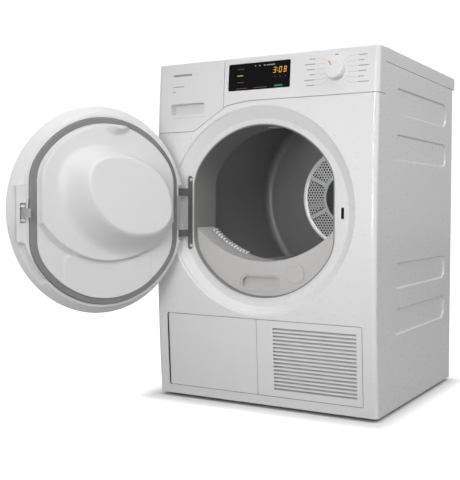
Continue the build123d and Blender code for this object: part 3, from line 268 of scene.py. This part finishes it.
def rubber(name, color, roughness=0.62):
    """Matt rubber or felt with a fine grain."""
    material, shader = base_material(name, color, roughness)
    cloud = add_noise(material, 30, detail=5)
    fine = add_noise(material, 700, detail=3)
    tint(material, cloud, tuple(c * 0.9 for c in color), tuple(c * 1.1 for c in color), shader)
    spread(material, cloud, roughness * 0.85, min(roughness * 1.15, 1), "Roughness", shader)
    relief(material, [(fine, 0.25, 0.0005)], shader)
    return material


def glowing(name, color, strength):
    """Lit segment behind the dark window, slightly uneven along its length."""
    material, shader = base_material(name, (0.01, 0.01, 0.01), 0.4)
    uneven = add_noise(material, 220, detail=2)
    spread(material, uneven, strength * 0.8, strength * 1.15, "Emission Strength", shader)
    shader.inputs["Emission Color"].default_value = (*color, 1)
    return material


WHITE = (0.80, 0.80, 0.80)
PAINT = enamel("white_enamel", WHITE)
PLASTIC = moulded("white_plastic", WHITE, 0.33, 0.06, coat=0.15)
DOOR_PLASTIC = moulded("door_plastic", (0.80, 0.80, 0.80), 0.38, 0.08)
LINER = moulded("liner_plastic", (0.77, 0.77, 0.77), 0.40, 0.08)
SILL = moulded("sill_plastic", (0.56, 0.55, 0.535), 0.45, 0.14)
GREY = moulded("grey_plastic", (0.50, 0.50, 0.50), 0.42, 0.12)
TUNNEL = moulded("tunnel_plastic", (0.27, 0.27, 0.265), 0.45, 0.18)
DARK = moulded("dark_plastic", (0.045, 0.045, 0.05), 0.48, 0.25)
HINGE_DARK = moulded("hinge_dark", (0.145, 0.145, 0.15), 0.42, 0.2)
SMOKED = moulded("smoked_cover", (0.012, 0.012, 0.014), 0.09, 0.01, coat=0.8)
WINDOW = moulded("window_black", (0.004, 0.004, 0.005), 0.16, 0.01)
WINDOW.node_tree.nodes["Principled BSDF"].inputs["Specular IOR Level"].default_value = 0.15
SEAL = rubber("seal_rubber", (0.235, 0.235, 0.235), 0.5)
BELT = rubber("belt_rubber", (0.02, 0.02, 0.02))
FELT = rubber("felt", (0.30, 0.29, 0.27), 0.95)
DRUM = brushed("drum_steel", (0.20, 0.20, 0.203), 0.46, (1, 8, 1), 60, 0.25, 0.03)
AIR_DISC = brushed("air_disc_steel", (0.75, 0.75, 0.76), 0.34, (1, 1, 1), 260, 0.8, 0.05)
HUB = brushed("hub_steel", (0.10, 0.10, 0.105), 0.35, (1, 1, 1), 200, 0.7, 0.05)
ZINC = brushed("zinc_sheet", (0.50, 0.51, 0.52), 0.40, (1, 1, 9), 70, 0.9, 0.1)
BRIGHT = brushed("bright_steel", (0.80, 0.80, 0.81), 0.22, (6, 1, 6), 200, 1.0, 0.03)
TRIM = brushed("trim_steel", (0.84, 0.84, 0.85), 0.30, (6, 1, 6), 200, 0.25, 0.03)
FACE_STEEL = brushed("perforated_steel", (0.74, 0.74, 0.75), 0.42, (1, 1, 1), 200, 0.40, 0.04)
FINS = brushed("fin_aluminium", (0.62, 0.63, 0.64), 0.35, (1, 30, 1), 120)
COPPER = brushed("copper_tube", (0.70, 0.36, 0.22), 0.30, (1, 1, 1), 90)
BLACK_ENAMEL = enamel("black_enamel", (0.02, 0.02, 0.022), 0.35)
BOARD = moulded("circuit_board", (0.02, 0.11, 0.05), 0.45, 0.3)
LENS = moulded("lamp_lens", (0.80, 0.80, 0.77), 0.2, 0.2, coat=0.5)
INK = moulded("grey_print", (0.33, 0.33, 0.34), 0.5, 0.05)
FAINT_INK = moulded("faint_print", (0.47, 0.47, 0.47), 0.5, 0.05)
ORANGE = glowing("amber_segment", (1.0, 0.50, 0.05), 1.3)
DIM_AMBER = glowing("dim_amber", (0.50, 0.28, 0.05), 0.16)
AMBER = glowing("amber_label", (0.95, 0.60, 0.08), 0.6)
GREEN = glowing("green_segment", (0.02, 0.42, 0.10), 0.40)
PALE = glowing("pale_segment", (0.75, 0.75, 0.72), 0.35)
BACKING = moulded("grille_backing", (0.55, 0.55, 0.55), 0.7, 0.2, 300)
# painted shade: flat black for the ring behind the perforated disc, darkening what shows through its holes
SHADE = moulded("painted_shade_black", (0.008, 0.008, 0.009), 0.8, 0.2)
INDEX = moulded("index_orange", (0.85, 0.32, 0.03), 0.4, 0.05)

NODE_MATERIALS = {
    PAINT: ["left_side_panel", "right_side_panel", "front_panel"],
    PLASTIC: ["fascia_panel", "container_front", "top_lid", "grille_panel", "access_flap", "program_knob"],
    DOOR_PLASTIC: ["door_ring", "door_handle_insert"],
    GREY: ["door_hinge_arm", "latch_hook"],
    SILL: ["filter_housing", "lint_filter", "flacon_cap"],
    TUNNEL: ["loading_tunnel", "container_tank", "drum_lifters"],
    DARK: ["base_pan", "levelling_feet", "plinth_frame", "door_lock", "container_guides", "fan_housing"]
    + ["heat_exchanger_cover", "condensate_pump", "drain_spigot", "cord_gland", "process_fan"]
    + ["idler_pulley", "support_roller_left", "support_roller_right"],
    HINGE_DARK: ["hinge_bracket"],
    WINDOW: ["display_window"],
    SMOKED: ["door_front_cover"],
    SEAL: ["door_seal"],
    BELT: ["drive_belt"],
    FELT: ["felt_seal"],
    DRUM: ["drum_shell"],
    AIR_DISC: ["drum_air_disc"],
    HUB: ["drum_hub_cover"],
    ZINC: ["rear_panel", "rear_duct_cover", "front_shield"],
    TRIM: ["opening_rim", "panel_screws"],
    BRIGHT: ["hinge_pin", "drum_bearing", "drum_shaft", "motor_shaft"],
    FINS: ["evaporator", "condenser", "bearing_carrier"],
    COPPER: ["refrigerant_pipe"],
    BLACK_ENAMEL: ["motor_housing", "compressor"],
    BOARD: ["control_board"],
    LENS: ["interior_lamp"],
}
for material, names in NODE_MATERIALS.items():
    for name in names:
        for slot in frame["nodes"][name].material_slots:
            slot.material = material


# ---------------------------------------------------------------- camera
CAMERA_AT = (FOOT_X + 0.9639, FOOT_Y - 2.0664, 0.4868)
CAMERA_YAW = 30.381
CAMERA_PITCH = -2.204
CAMERA_ROLL = 0.092
FOCAL_SHARE = 843.25 / 480  # focal length as a share of the image's long side

camera_data = bpy.data.cameras.new("camera")
camera_data.sensor_width = 36
camera_data.sensor_fit = "AUTO"
camera_data.lens = 36 * FOCAL_SHARE
camera = bpy.data.objects.new("camera", camera_data)
bpy.context.scene.collection.objects.link(camera)
camera.matrix_world = (
    Matrix.Translation(CAMERA_AT)
    @ Matrix.Rotation(math.radians(CAMERA_YAW), 4, "Z")
    @ Matrix.Rotation(math.radians(90 + CAMERA_PITCH), 4, "X")
    @ Matrix.Rotation(math.radians(CAMERA_ROLL), 4, "Z")
)
camera_data.clip_end = 60
bpy.context.scene.camera = camera


# ---------------------------------------------------------------- door liner
HINGE = Vector(JOINTS["door_swing"]["pos_m"])
DOOR_OPEN = math.radians(109.5)
LINER_R, LINER_FLAT, LINER_BLEND = 0.2032, 0.1822, 0.095
DISC_ARC_R, DISC_ARC_Z = 0.223, 0.583
DISH_Z = 0.478


def smooth_step(value, low, high):
    t = min(max((value - low) / (high - low), 0.0), 1.0)
    return t * t * (3 - 2 * t)


def liner_reach(turn, inset=0.0):
    """Distance from the middle to the blended outline in one direction."""
    radius, flat, blend = LINER_R - inset, LINER_FLAT - inset, LINER_BLEND - inset
    dx, dz = abs(math.cos(turn)), abs(math.sin(turn))
    cx = flat - blend
    cz = math.sqrt((radius - blend) ** 2 - cx**2)
    if dz * cx >= dx * cz:
        return radius
    if dz * flat <= dx * cz:
        return flat / dx
    along = cx * dx + cz * dz
    return along + math.sqrt(blend**2 - cx**2 - cz**2 + along**2)


def rounded_inside(u, z, half, top, corner):
    """How far (u, z) is inside a plate open at its foot, with rounded upper corners."""
    du, dz = abs(u) - (half - corner), z - (top - corner)
    return corner - math.hypot(max(du, 0), max(dz, 0)) - min(max(du, dz), 0)


def liner_depth(u, z):
    """Depth behind the hinge line of the door's inner face at (u, z), metres."""
    from_edge = liner_reach(math.atan2(z - DISH_Z, u)) - math.hypot(u, z - DISH_Z)
    inside = min(DISC_ARC_R - math.hypot(u, z - DISC_ARC_Z), from_edge - 0.0022)
    depth = 0.0285
    depth += 0.0145 * smooth_step(inside, -0.0012, 0.0045)
    # the dome: a soft egg whose flat face leans to the hinge side and down
    lean = 0.34 * (z - 0.500)
    across = u + 0.017 - lean
    base = 1 - math.hypot(across / 0.157, (z - 0.500) / (0.130 if z > 0.500 else 0.136))
    side = 0.120 if across < 0 else 0.105
    up = (z - 0.517) / (0.090 if z > 0.517 else 0.098)
    face = 1 - (abs(across / side) ** 2.3 + abs(up) ** 2.3) ** (1 / 2.3)
    if base > 0:
        wall = 1.0 if face > 0.10 else min(max(base / max(base - face + 0.10, 0.02), 0.0), 1.0)
        depth += 0.060 * wall * wall * (3 - 2 * wall)
    # the nub above the dome
    nub = 1 - math.hypot((u + 0.014) / 0.040, (z - 0.680) / 0.026)
    depth += 0.020 * smooth_step(nub, 0.0, 0.60) * smooth_step(from_edge, 0.001, 0.005)
    # shallow plate below the dome
    if inside < 0:
        depth += 0.0018 * smooth_step(rounded_inside(u, z, 0.119, 0.378, 0.012), 0.0, 0.003)
    return depth


def door_point(u, depth, z):
    """Point given in the shut door's own terms, at the place it has with the door open."""
    x = MID_X + u - HINGE.x
    y = depth
    turn = -DOOR_OPEN
    return (
        HINGE.x + x * math.cos(turn) - y * math.sin(turn),
        HINGE.y + x * math.sin(turn) + y * math.cos(turn),
        z,
    )


def door_liner():
    rings, steps = 130, 420
    bm = bmesh.new()
    rows = []
    for i in range(rings + 1):
        share = i / rings
        row = []
        for k in range(steps):
            turn = 2 * math.pi * k / steps
            reach = liner_reach(turn)
            u = share * reach * math.cos(turn)
            z = DISH_Z + share * reach * math.sin(turn)
            row.append(bm.verts.new(door_point(u, liner_depth(u, z), z)))
            if i == 0:
                break
        rows.append(row)
    for k in range(steps):
        j = (k + 1) % steps
        bm.faces.new((rows[0][0], rows[1][k], rows[1][j]))
    for a, b in zip(rows[1:], rows[2:]):
        for k in range(steps):
            j = (k + 1) % steps
            bm.faces.new((a[k], b[k], b[j], a[j]))
    rim = rows[-1]
    skirt = []
    for k in range(steps):
        turn = 2 * math.pi * k / steps
        reach = liner_reach(turn)
        skirt.append(bm.verts.new(door_point(reach * math.cos(turn), 0.0142, DISH_Z + reach * math.sin(turn))))
    for k in range(steps):
        j = (k + 1) % steps
        bm.faces.new((rim[k], skirt[k], skirt[j], rim[j]))
    back = bm.verts.new(door_point(0, 0.0142, DISH_Z))
    for k in range(steps):
        bm.faces.new((skirt[k], back, skirt[(k + 1) % steps]))
    piece = add_object("door_liner", mesh_from("door_liner", bm), LINER, "door")
    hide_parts("door_inner_panel")


door_liner()


# ---------------------------------------------------------------- display graphics
def window_place(x, z, off):
    """A point on the face of the display window."""
    return (x, front_y(z) + 0.0004 - off, z)


SEGMENTS = {"0": "abcdef", "3": "abgcd", "8": "abcdefg", "1": "bc"}


def seven_segment(bm, digit, x, z, width, height, stroke, slant):
    """One digit built from up to seven slanted bars."""
    half = height / 2

    def shear(px, pz):
        return (px + (pz - z) * slant, pz)

    bars = {
        "a": (x, z + height - stroke, width, stroke),
        "g": (x, z + half - stroke / 2, width, stroke),
        "d": (x, z, width, stroke),
        "f": (x, z + half, stroke, half),
        "b": (x + width - stroke, z + half, stroke, half),
        "e": (x, z, stroke, half),
        "c": (x + width - stroke, z, stroke, half),
    }
    trim = stroke * 0.25
    for key in SEGMENTS[digit]:
        bx, bz, bw, bh = bars[key]
        corners = [
            (bx + trim, bz + trim),
            (bx + bw - trim, bz + trim),
            (bx + bw - trim, bz + bh - trim),
            (bx + trim, bz + bh - trim),
        ]
        on_window(bm, [shear(*c) for c in corners])


def on_window(bm, outline):
    """A thin mark on the display window."""
    slab_on_front(bm, outline, 0.0002, 0.0003, window_place)


def display_piece(name, bm, material):
    """Closes one group of marks as an object of the display."""
    add_object(name, mesh_from(name, bm), material, "cabinet", False)


def display_graphics():
    """The time left in digits, and plain bars where the real display has words."""
    left, right = WINDOW_LOW[0], WINDOW_HIGH[0]
    low = WINDOW_LOW[2]
    bm = bmesh.new()
    for k, digit in enumerate("308"):
        x = right - 0.043 + 0.0125 * k - (0.003 if k == 0 else 0)
        seven_segment(bm, digit, x, low + 0.036, 0.0074, 0.0145, 0.0019, 0.12)
    for z in (0.0400, 0.0462):
        on_window(bm, bar_outline(right - 0.0340, low + z, 0.0016, 0.0016))
    display_piece("display_time", bm, ORANGE)
    bm = bmesh.new()
    for z in (0.0505, 0.0185):
        on_window(bm, bar_outline(left + 0.024, low + z, 0.019, 0.0018))
    for x, width in ((0.022, 0.030), (0.070, 0.036)):
        on_window(bm, bar_outline(left + x, low + 0.0035, width, 0.0018))
    for k in range(3):
        on_window(bm, bar_outline(right - 0.042 + 0.014 * k, low + 0.026, 0.003, 0.002))
    display_piece("display_labels", bm, DIM_AMBER)
    bm = bmesh.new()
    on_window(bm, bar_outline(left + 0.024, low + 0.0345, 0.016, 0.0022))
    display_piece("display_choice", bm, AMBER)
    bm = bmesh.new()
    on_window(bm, rounded_outline(right - 0.041, low + 0.0035, 0.021, 0.0045, 0.001))
    display_piece("display_go_field", bm, GREEN)
    bm = bmesh.new()
    for x, width in ((0.072, 0.003), (0.083, 0.004), (0.096, 0.005), (0.104, 0.022)):
        on_window(bm, bar_outline(left + x, low + 0.0555, width, 0.0026))
    display_piece("display_icons", bm, PALE)


display_graphics()


# ---------------------------------------------------------------- print on the fascia
PRINT_LIFT, PRINT_DEPTH = 0.00012, 0.0004


def printed(bm, outline):
    """A mark printed on the bowed front."""
    slab_on_front(bm, outline, PRINT_LIFT, PRINT_DEPTH)


def dial_print():
    """Leader lines from the knob to plain label bars, six each side, and one mark above."""
    ink, faint = bmesh.new(), bmesh.new()
    rows = 6
    for side in (-1, 1):
        for row in range(rows):
            z = KNOB_Z + 0.0305 - 0.0122 * row
            end = KNOB_X + side * 0.052
            turn = math.atan2(z - KNOB_Z, side * 0.030)
            start = (KNOB_X + 0.0285 * math.cos(turn), KNOB_Z + 0.0285 * math.sin(turn))
            bend = (KNOB_X + side * 0.034, z)
            band_on_front(faint, [start, bend, (end, z)], 0.0006)
            width = 0.014 + 0.006 * ((row * 2 + (side > 0)) % 3)
            x = end + 0.0015 if side > 0 else end - 0.0015 - width
            printed(ink, bar_outline(x, z - 0.0010, width, 0.0020))
    printed(ink, rounded_outline(KNOB_X - 0.0045, KNOB_Z + 0.0345, 0.009, 0.0028, 0.001))
    add_object("dial_labels", mesh_from("dial_labels", ink), INK, "cabinet", False)
    add_object("dial_lines", mesh_from("dial_lines", faint), FAINT_INK, "cabinet", False)


dial_print()


def container_print():
    """Plain bars where the real front carries lettering, and the line under the grip."""
    left = CONTAINER_LOW[0]
    marks = bmesh.new()
    printed(marks, rounded_outline(left + 0.045, 0.8175, 0.056, 0.0052, 0.0018))
    printed(marks, bar_outline(left + 0.045, 0.7905, 0.034, 0.0018))
    printed(marks, bar_outline(left + 0.045, 0.7775, 0.009, 0.0022))
    mesh = mesh_from("container_marks", marks)
    add_object("container_marks", mesh, INK, "container", False)
    line = bmesh.new()
    points = [(left + 0.048 + 0.0098 * k, 0.7125) for k in range(11)]
    band_on_front(line, points, 0.0007)
    mesh = mesh_from("container_lip_line", line)
    add_object("container_lip_line", mesh, FAINT_INK, "container", False)


container_print()


def grille_backing():
    """Pale filter mat right behind the louvres."""
    low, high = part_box("grille_panel")
    bm = bmesh.new()
    wide, tall = high[0] - low[0] - 0.036, high[2] - low[2] - 0.020
    outline = rounded_outline(low[0] + 0.030, low[2] + 0.010, wide, tall, 0.004)
    slab_on_front(bm, outline, -0.009, 0.011)
    add_object("grille_backing", mesh_from("grille_backing", bm), BACKING, "cabinet", False)


grille_backing()


DISC_LOW, DISC_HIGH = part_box("drum_air_disc")
DRUM_X, DRUM_Z = (DISC_LOW[0] + DISC_HIGH[0]) / 2, (DISC_LOW[2] + DISC_HIGH[2]) / 2
SHEET_FRONT, SHEET_BACK = DISC_HIGH[1] - 0.0016, DISC_HIGH[1] - 0.0006
SPOKES = [math.radians(360 / 7 * k) for k in range(7)]


def hex_centres(pitch, inner, outer, keep_off):
    """Hexagonal grid between two radii that stays clear of the seven radial ribs."""
    reach = int(outer / pitch) + 2
    for row in range(-reach, reach + 1):
        for column in range(-reach, reach + 1):
            x = (column + (row % 2) / 2) * pitch
            z = row * pitch * math.sqrt(3) / 2
            if not inner < math.hypot(x, z) < outer:
                continue
            turns = [x * math.cos(a) + z * math.sin(a) for a in SPOKES]
            offs = [abs(-x * math.sin(a) + z * math.cos(a)) for a in SPOKES]
            if all(off > keep_off or turn < 0 for off, turn in zip(offs, turns)):
                yield x, z


def perforated_sheet(bm, pitch=0.0088, hole=0.0030):
    """Sheet of hexagon cells, each with a round hole through it."""
    cell = pitch / math.sqrt(3)
    for x, z in hex_centres(pitch, 0.0835, 0.1425, 0.0062):
        rows = [[], [], []]
        for k in range(12):
            turn = math.radians(30 * k + 30)
            edge = cell if k % 2 == 0 else cell * math.cos(math.radians(30))
            for row, radius, y in ((0, edge, SHEET_FRONT), (1, hole, SHEET_FRONT), (2, hole, SHEET_BACK)):
                px = DRUM_X + x + radius * math.cos(turn)
                rows[row].append(bm.verts.new((px, y, DRUM_Z + z + radius * math.sin(turn))))
        for a, b in ((0, 1), (1, 2)):
            for k in range(12):
                j = (k + 1) % 12
                bm.faces.new((rows[a][k], rows[a][j], rows[b][j], rows[b][k]))


def turned_ring(bm, profile, steps=144):
    """Closed ring about the drum's axis from (radius, y) points."""
    rows = []
    for radius, y in profile:
        turns = [2 * math.pi * k / steps for k in range(steps)]
        spots = [(DRUM_X + radius * math.cos(a), y, DRUM_Z + radius * math.sin(a)) for a in turns]
        rows.append([bm.verts.new(spot) for spot in spots])
    for a, b in zip(rows, rows[1:] + rows[:1]):
        for k in range(steps):
            j = (k + 1) % steps
            bm.faces.new((a[k], a[j], b[j], b[k]))


def radial_rib(bm, turn, off, half, front):
    """Rounded bead from the inner to the outer ring, beside one spoke."""
    out = Vector((math.cos(turn), 0, math.sin(turn)))
    across = Vector((-math.sin(turn), 0, math.cos(turn)))
    middle = Vector((DRUM_X, 0, DRUM_Z))
    section = [(-half, SHEET_FRONT), (-half * 0.6, front), (half * 0.6, front), (half, SHEET_FRONT)]
    ends = []
    for radius in (0.080, 0.1445):
        spots = [middle + out * radius + across * (off + s) + Vector((0, y, 0)) for s, y in section]
        ends.append([bm.verts.new(spot) for spot in spots])
    for k in range(4):
        j = (k + 1) % 4
        bm.faces.new((ends[0][k], ends[0][j], ends[1][j], ends[1][k]))
    bm.faces.new(ends[0][::-1])
    bm.faces.new(ends[1])


def air_disc():
    """Bright perforated disc of the drum's rear wall: sheet, two rings and double ribs."""
    bm = bmesh.new()
    perforated_sheet(bm)
    bmesh.ops.remove_doubles(bm, verts=bm.verts, dist=0.00002)
    front = SHEET_FRONT
    outer = ((0.1400, 0.0), (0.1425, -0.0008), (0.1475, -0.0030), (0.1510, -0.0030))
    outer += ((0.1520, 0.0), (0.1520, 0.0008), (0.1400, 0.0008))
    inner = ((0.0700, 0.0008), (0.0700, -0.0020), (0.0780, -0.0024), (0.0850, -0.0006))
    inner += ((0.0860, 0.0008),)
    for profile in (outer, inner):
        turned_ring(bm, [(radius, front + y) for radius, y in profile])
    for turn in SPOKES:
        radial_rib(bm, turn, 0.0, 0.0062, front - 0.0003)
        for off in (-0.0034, 0.0034):
            radial_rib(bm, turn, off, 0.0013, front - 0.0018)
    piece = add_object("air_disc", mesh_from("air_disc", bm), FACE_STEEL, "drum", False)
    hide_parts("drum_air_disc")


air_disc()


def duct_shade():
    """Black ring right behind the perforated disc, painted shade: a dark sheet that darkens the air duct seen
    through the holes.
    """
    bm = bmesh.new()
    near, far = DISC_HIGH[1] + 0.0036, DISC_HIGH[1] + 0.0046
    turned_ring(bm, [(0.060, near), (0.148, near), (0.148, far), (0.060, far)])
    add_object("duct_shade", mesh_from("duct_shade", bm), SHADE, "drum", False)


duct_shade()


# ---------------------------------------------------------------- comb of the sill
SILL_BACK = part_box("filter_housing")[1][1]
SILL_R, SILL_Z = 0.262, 0.617  # the arc of the sill's rear edge
TOOTH_START, TOOTH_STEP = 226.5, 2.05  # degrees along that arc


def comb_teeth():
    """Row of small moulded teeth along the left rear edge of the sill."""
    bm = bmesh.new()
    for index in range(13):
        turn = math.radians(TOOTH_START + TOOTH_STEP * index)
        inward = Vector((-math.cos(turn), 0, -math.sin(turn)))
        along = Vector((-math.sin(turn), 0, math.cos(turn)))
        foot = Vector((MID_X, SILL_BACK - 0.001, SILL_Z)) - inward * SILL_R
        ends = []
        for lift, half, reach in ((-0.0010, 0.0030, 0.0170), (0.0045, 0.0022, 0.0120), (0.0060, 0.0012, 0.0080)):
            ring = []
            for side, back in ((-half, 0.0), (half, 0.0), (half, -reach), (-half, -reach)):
                ring.append(bm.verts.new(foot + inward * lift + along * side + Vector((0, back, 0))))
            ends.append(ring)
        for a, b in zip(ends, ends[1:]):
            for k in range(4):
                j = (k + 1) % 4
                bm.faces.new((a[k], a[j], b[j], b[k]))
        bm.faces.new(ends[0][::-1])
        bm.faces.new(ends[-1])
    add_object("sill_comb", mesh_from("sill_comb", bm), LINER, "cabinet", False)


comb_teeth()


# ---------------------------------------------------------------- knob details
def knob_mark():
    """Orange index mark let into the knob's face near its edge."""
    lean = math.asin((KNOB_Z - BOW_Z) / BOW_R)
    normal = Vector((0, -math.cos(lean), math.sin(lean)))
    up = Vector((0, math.sin(lean), math.cos(lean)))
    centre = Vector((KNOB_X, front_y(KNOB_Z), KNOB_Z)) + normal * 0.0197
    turn = math.radians(31)
    radial = up * math.cos(turn) - Vector((1, 0, 0)) * math.sin(turn)
    across = normal.cross(radial)
    bm = bmesh.new()
    corners = [(-0.0015, 0.0085), (0.0015, 0.0085), (0.0020, 0.0212), (-0.0020, 0.0212)]
    top = [bm.verts.new(centre + across * a + radial * r) for a, r in corners]
    base = [bm.verts.new(centre + across * a + radial * r - normal * 0.0006) for a, r in corners]
    bm.faces.new(top)
    bm.faces.new(base[::-1])
    for i in range(4):
        j = (i + 1) % 4
        bm.faces.new((top[i], base[i], base[j], top[j]))
    add_object("knob_index", mesh_from("knob_index", bm), INDEX, "knob", False)


knob_mark()


# ---------------------------------------------------------------- floor, light, world
HALF_WIDTH, HALF_DEPTH = 0.296, 0.288
# reach of the painted contact shadow round the cabinet's floor print
PAINTED_SHADOW_REACH = 0.10
FLOOR_GLOW = 0.75
AMBIENT = 0.42
LIGHTS = (  # name, place, aim, size, power, spread in degrees
    ("key", (0.33, -1.85, 0.75), (0.30, -0.29, 0.55), (0.5, 0.8), 1.9, 70),
    ("front", (1.10, -2.9, 2.2), (0.15, -0.3, 0.5), (1.2, 1.2), 4.0, 180),
    ("side", (2.5, -0.7, 2.3), (0.1, -0.3, 0.5), (1.0, 1.0), 24, 180),
    ("door_fill", (0.10, -1.9, 0.7), (-0.42, -0.5, 0.48), (0.6, 0.9), 0.9, 70),
    ("top", (0.0, 0.0, 3.4), (0.0, 0.0, 0.0), (3.0, 3.0), 29, 180),
    ("drum_light", (0.0, -0.06, 0.760), (0.0, 0.24, 0.40), (0.16, 0.08), 0.60, 180),
)


def distance_outside(material):
    """How far a point of the floor lies outside the cabinet's floor print."""
    nodes, links = material.node_tree.nodes, material.node_tree.links
    coords = nodes.new("ShaderNodeTexCoord")
    outside = coords.outputs["Object"]
    for operation, value in (
        ("SUBTRACT", (FOOT_X, FOOT_Y, 0)),
        ("ABSOLUTE", None),
        ("SUBTRACT", (HALF_WIDTH, HALF_DEPTH, 0)),
        ("MAXIMUM", (0, 0, 0)),
        ("LENGTH", None),
    ):
        step = nodes.new("ShaderNodeVectorMath")
        step.operation = operation
        links.new(outside, step.inputs[0])
        if value:
            step.inputs[1].default_value = value
        outside = step.outputs["Value" if operation == "LENGTH" else "Vector"]
    return outside


def floor_piece():
    """White floor with a painted contact shadow: its glow fades out close round the cabinet."""
    bm = bmesh.new()
    bmesh.ops.create_grid(bm, x_segments=1, y_segments=1, size=14)
    mesh = bpy.data.meshes.new("floor")
    bm.to_mesh(mesh)
    bm.free()
    floor = bpy.data.objects.new("floor", mesh)
    bpy.context.scene.collection.objects.link(floor)
    material, shader = base_material("floor_white", (0.94, 0.94, 0.94), 0.85)
    shader.inputs["Specular IOR Level"].default_value = 0.1
    shader.inputs["Emission Color"].default_value = (1, 1, 1, 1)
    cloud = add_noise(material, 1.2)
    spread(material, cloud, 0.8, 0.9, "Roughness", shader)
    nodes, links = material.node_tree.nodes, material.node_tree.links
    outside = distance_outside(material)
    # painted contact shadow: the floor's glow, seen only by the camera, fades to nothing at the cabinet's floor
    # print
    far = nodes.new("ShaderNodeMapRange")
    far.interpolation_type = "SMOOTHSTEP"
    far.inputs["From Min"].default_value = 0.0
    far.inputs["From Max"].default_value = PAINTED_SHADOW_REACH
    far.inputs["To Max"].default_value = FLOOR_GLOW
    links.new(outside, far.inputs["Value"])
    seen = nodes.new("ShaderNodeLightPath")
    glow = nodes.new("ShaderNodeMath")
    glow.operation = "MULTIPLY"
    links.new(far.outputs["Result"], glow.inputs[0])
    links.new(seen.outputs["Is Camera Ray"], glow.inputs[1])
    links.new(glow.outputs["Value"], shader.inputs["Emission Strength"])
    tone = nodes.new("ShaderNodeMix")
    tone.data_type = "RGBA"
    tone.inputs["A"].default_value = (0.40, 0.40, 0.40, 1)
    tone.inputs["B"].default_value = (0.94, 0.94, 0.94, 1)
    links.new(seen.outputs["Is Camera Ray"], tone.inputs["Factor"])
    links.new(tone.outputs["Result"], shader.inputs["Base Color"])
    mesh.materials.append(material)


def sky():
    """Even white surroundings, seen a little brighter than they light."""
    world = bpy.data.worlds.new("world")
    bpy.context.scene.world = world
    world.use_nodes = True
    nodes, links = world.node_tree.nodes, world.node_tree.links
    nodes["Background"].inputs["Color"].default_value = (1, 1, 1, 1)
    nodes["Background"].inputs["Strength"].default_value = AMBIENT
    plain = nodes.new("ShaderNodeBackground")
    plain.inputs["Color"].default_value = (1, 1, 1, 1)
    plain.inputs["Strength"].default_value = 1.05
    seen = nodes.new("ShaderNodeLightPath")
    mix = nodes.new("ShaderNodeMixShader")
    links.new(seen.outputs["Is Camera Ray"], mix.inputs["Fac"])
    links.new(nodes["Background"].outputs["Background"], mix.inputs[1])
    links.new(plain.outputs["Background"], mix.inputs[2])
    links.new(mix.outputs["Shader"], nodes["World Output"].inputs["Surface"])


def lamps():
    """Soft area lights, placed from the middle of the cabinet's floor print."""
    for name, place, aim, size, power, spread_angle in LIGHTS:
        place = (place[0] + FOOT_X, place[1] + FOOT_Y, place[2])
        aim = (aim[0] + FOOT_X, aim[1] + FOOT_Y, aim[2])
        data = bpy.data.lights.new(name, "AREA")
        data.shape = "RECTANGLE"
        data.size, data.size_y = size
        data.energy = power
        data.spread = math.radians(spread_angle)
        lamp = bpy.data.objects.new(name, data)
        bpy.context.scene.collection.objects.link(lamp)
        lamp.location = place
        lamp.rotation_euler = (Vector(aim) - Vector(place)).to_track_quat("-Z", "Y").to_euler()


floor_piece()
sky()
lamps()
bpy.context.scene.view_settings.view_transform = "Standard"
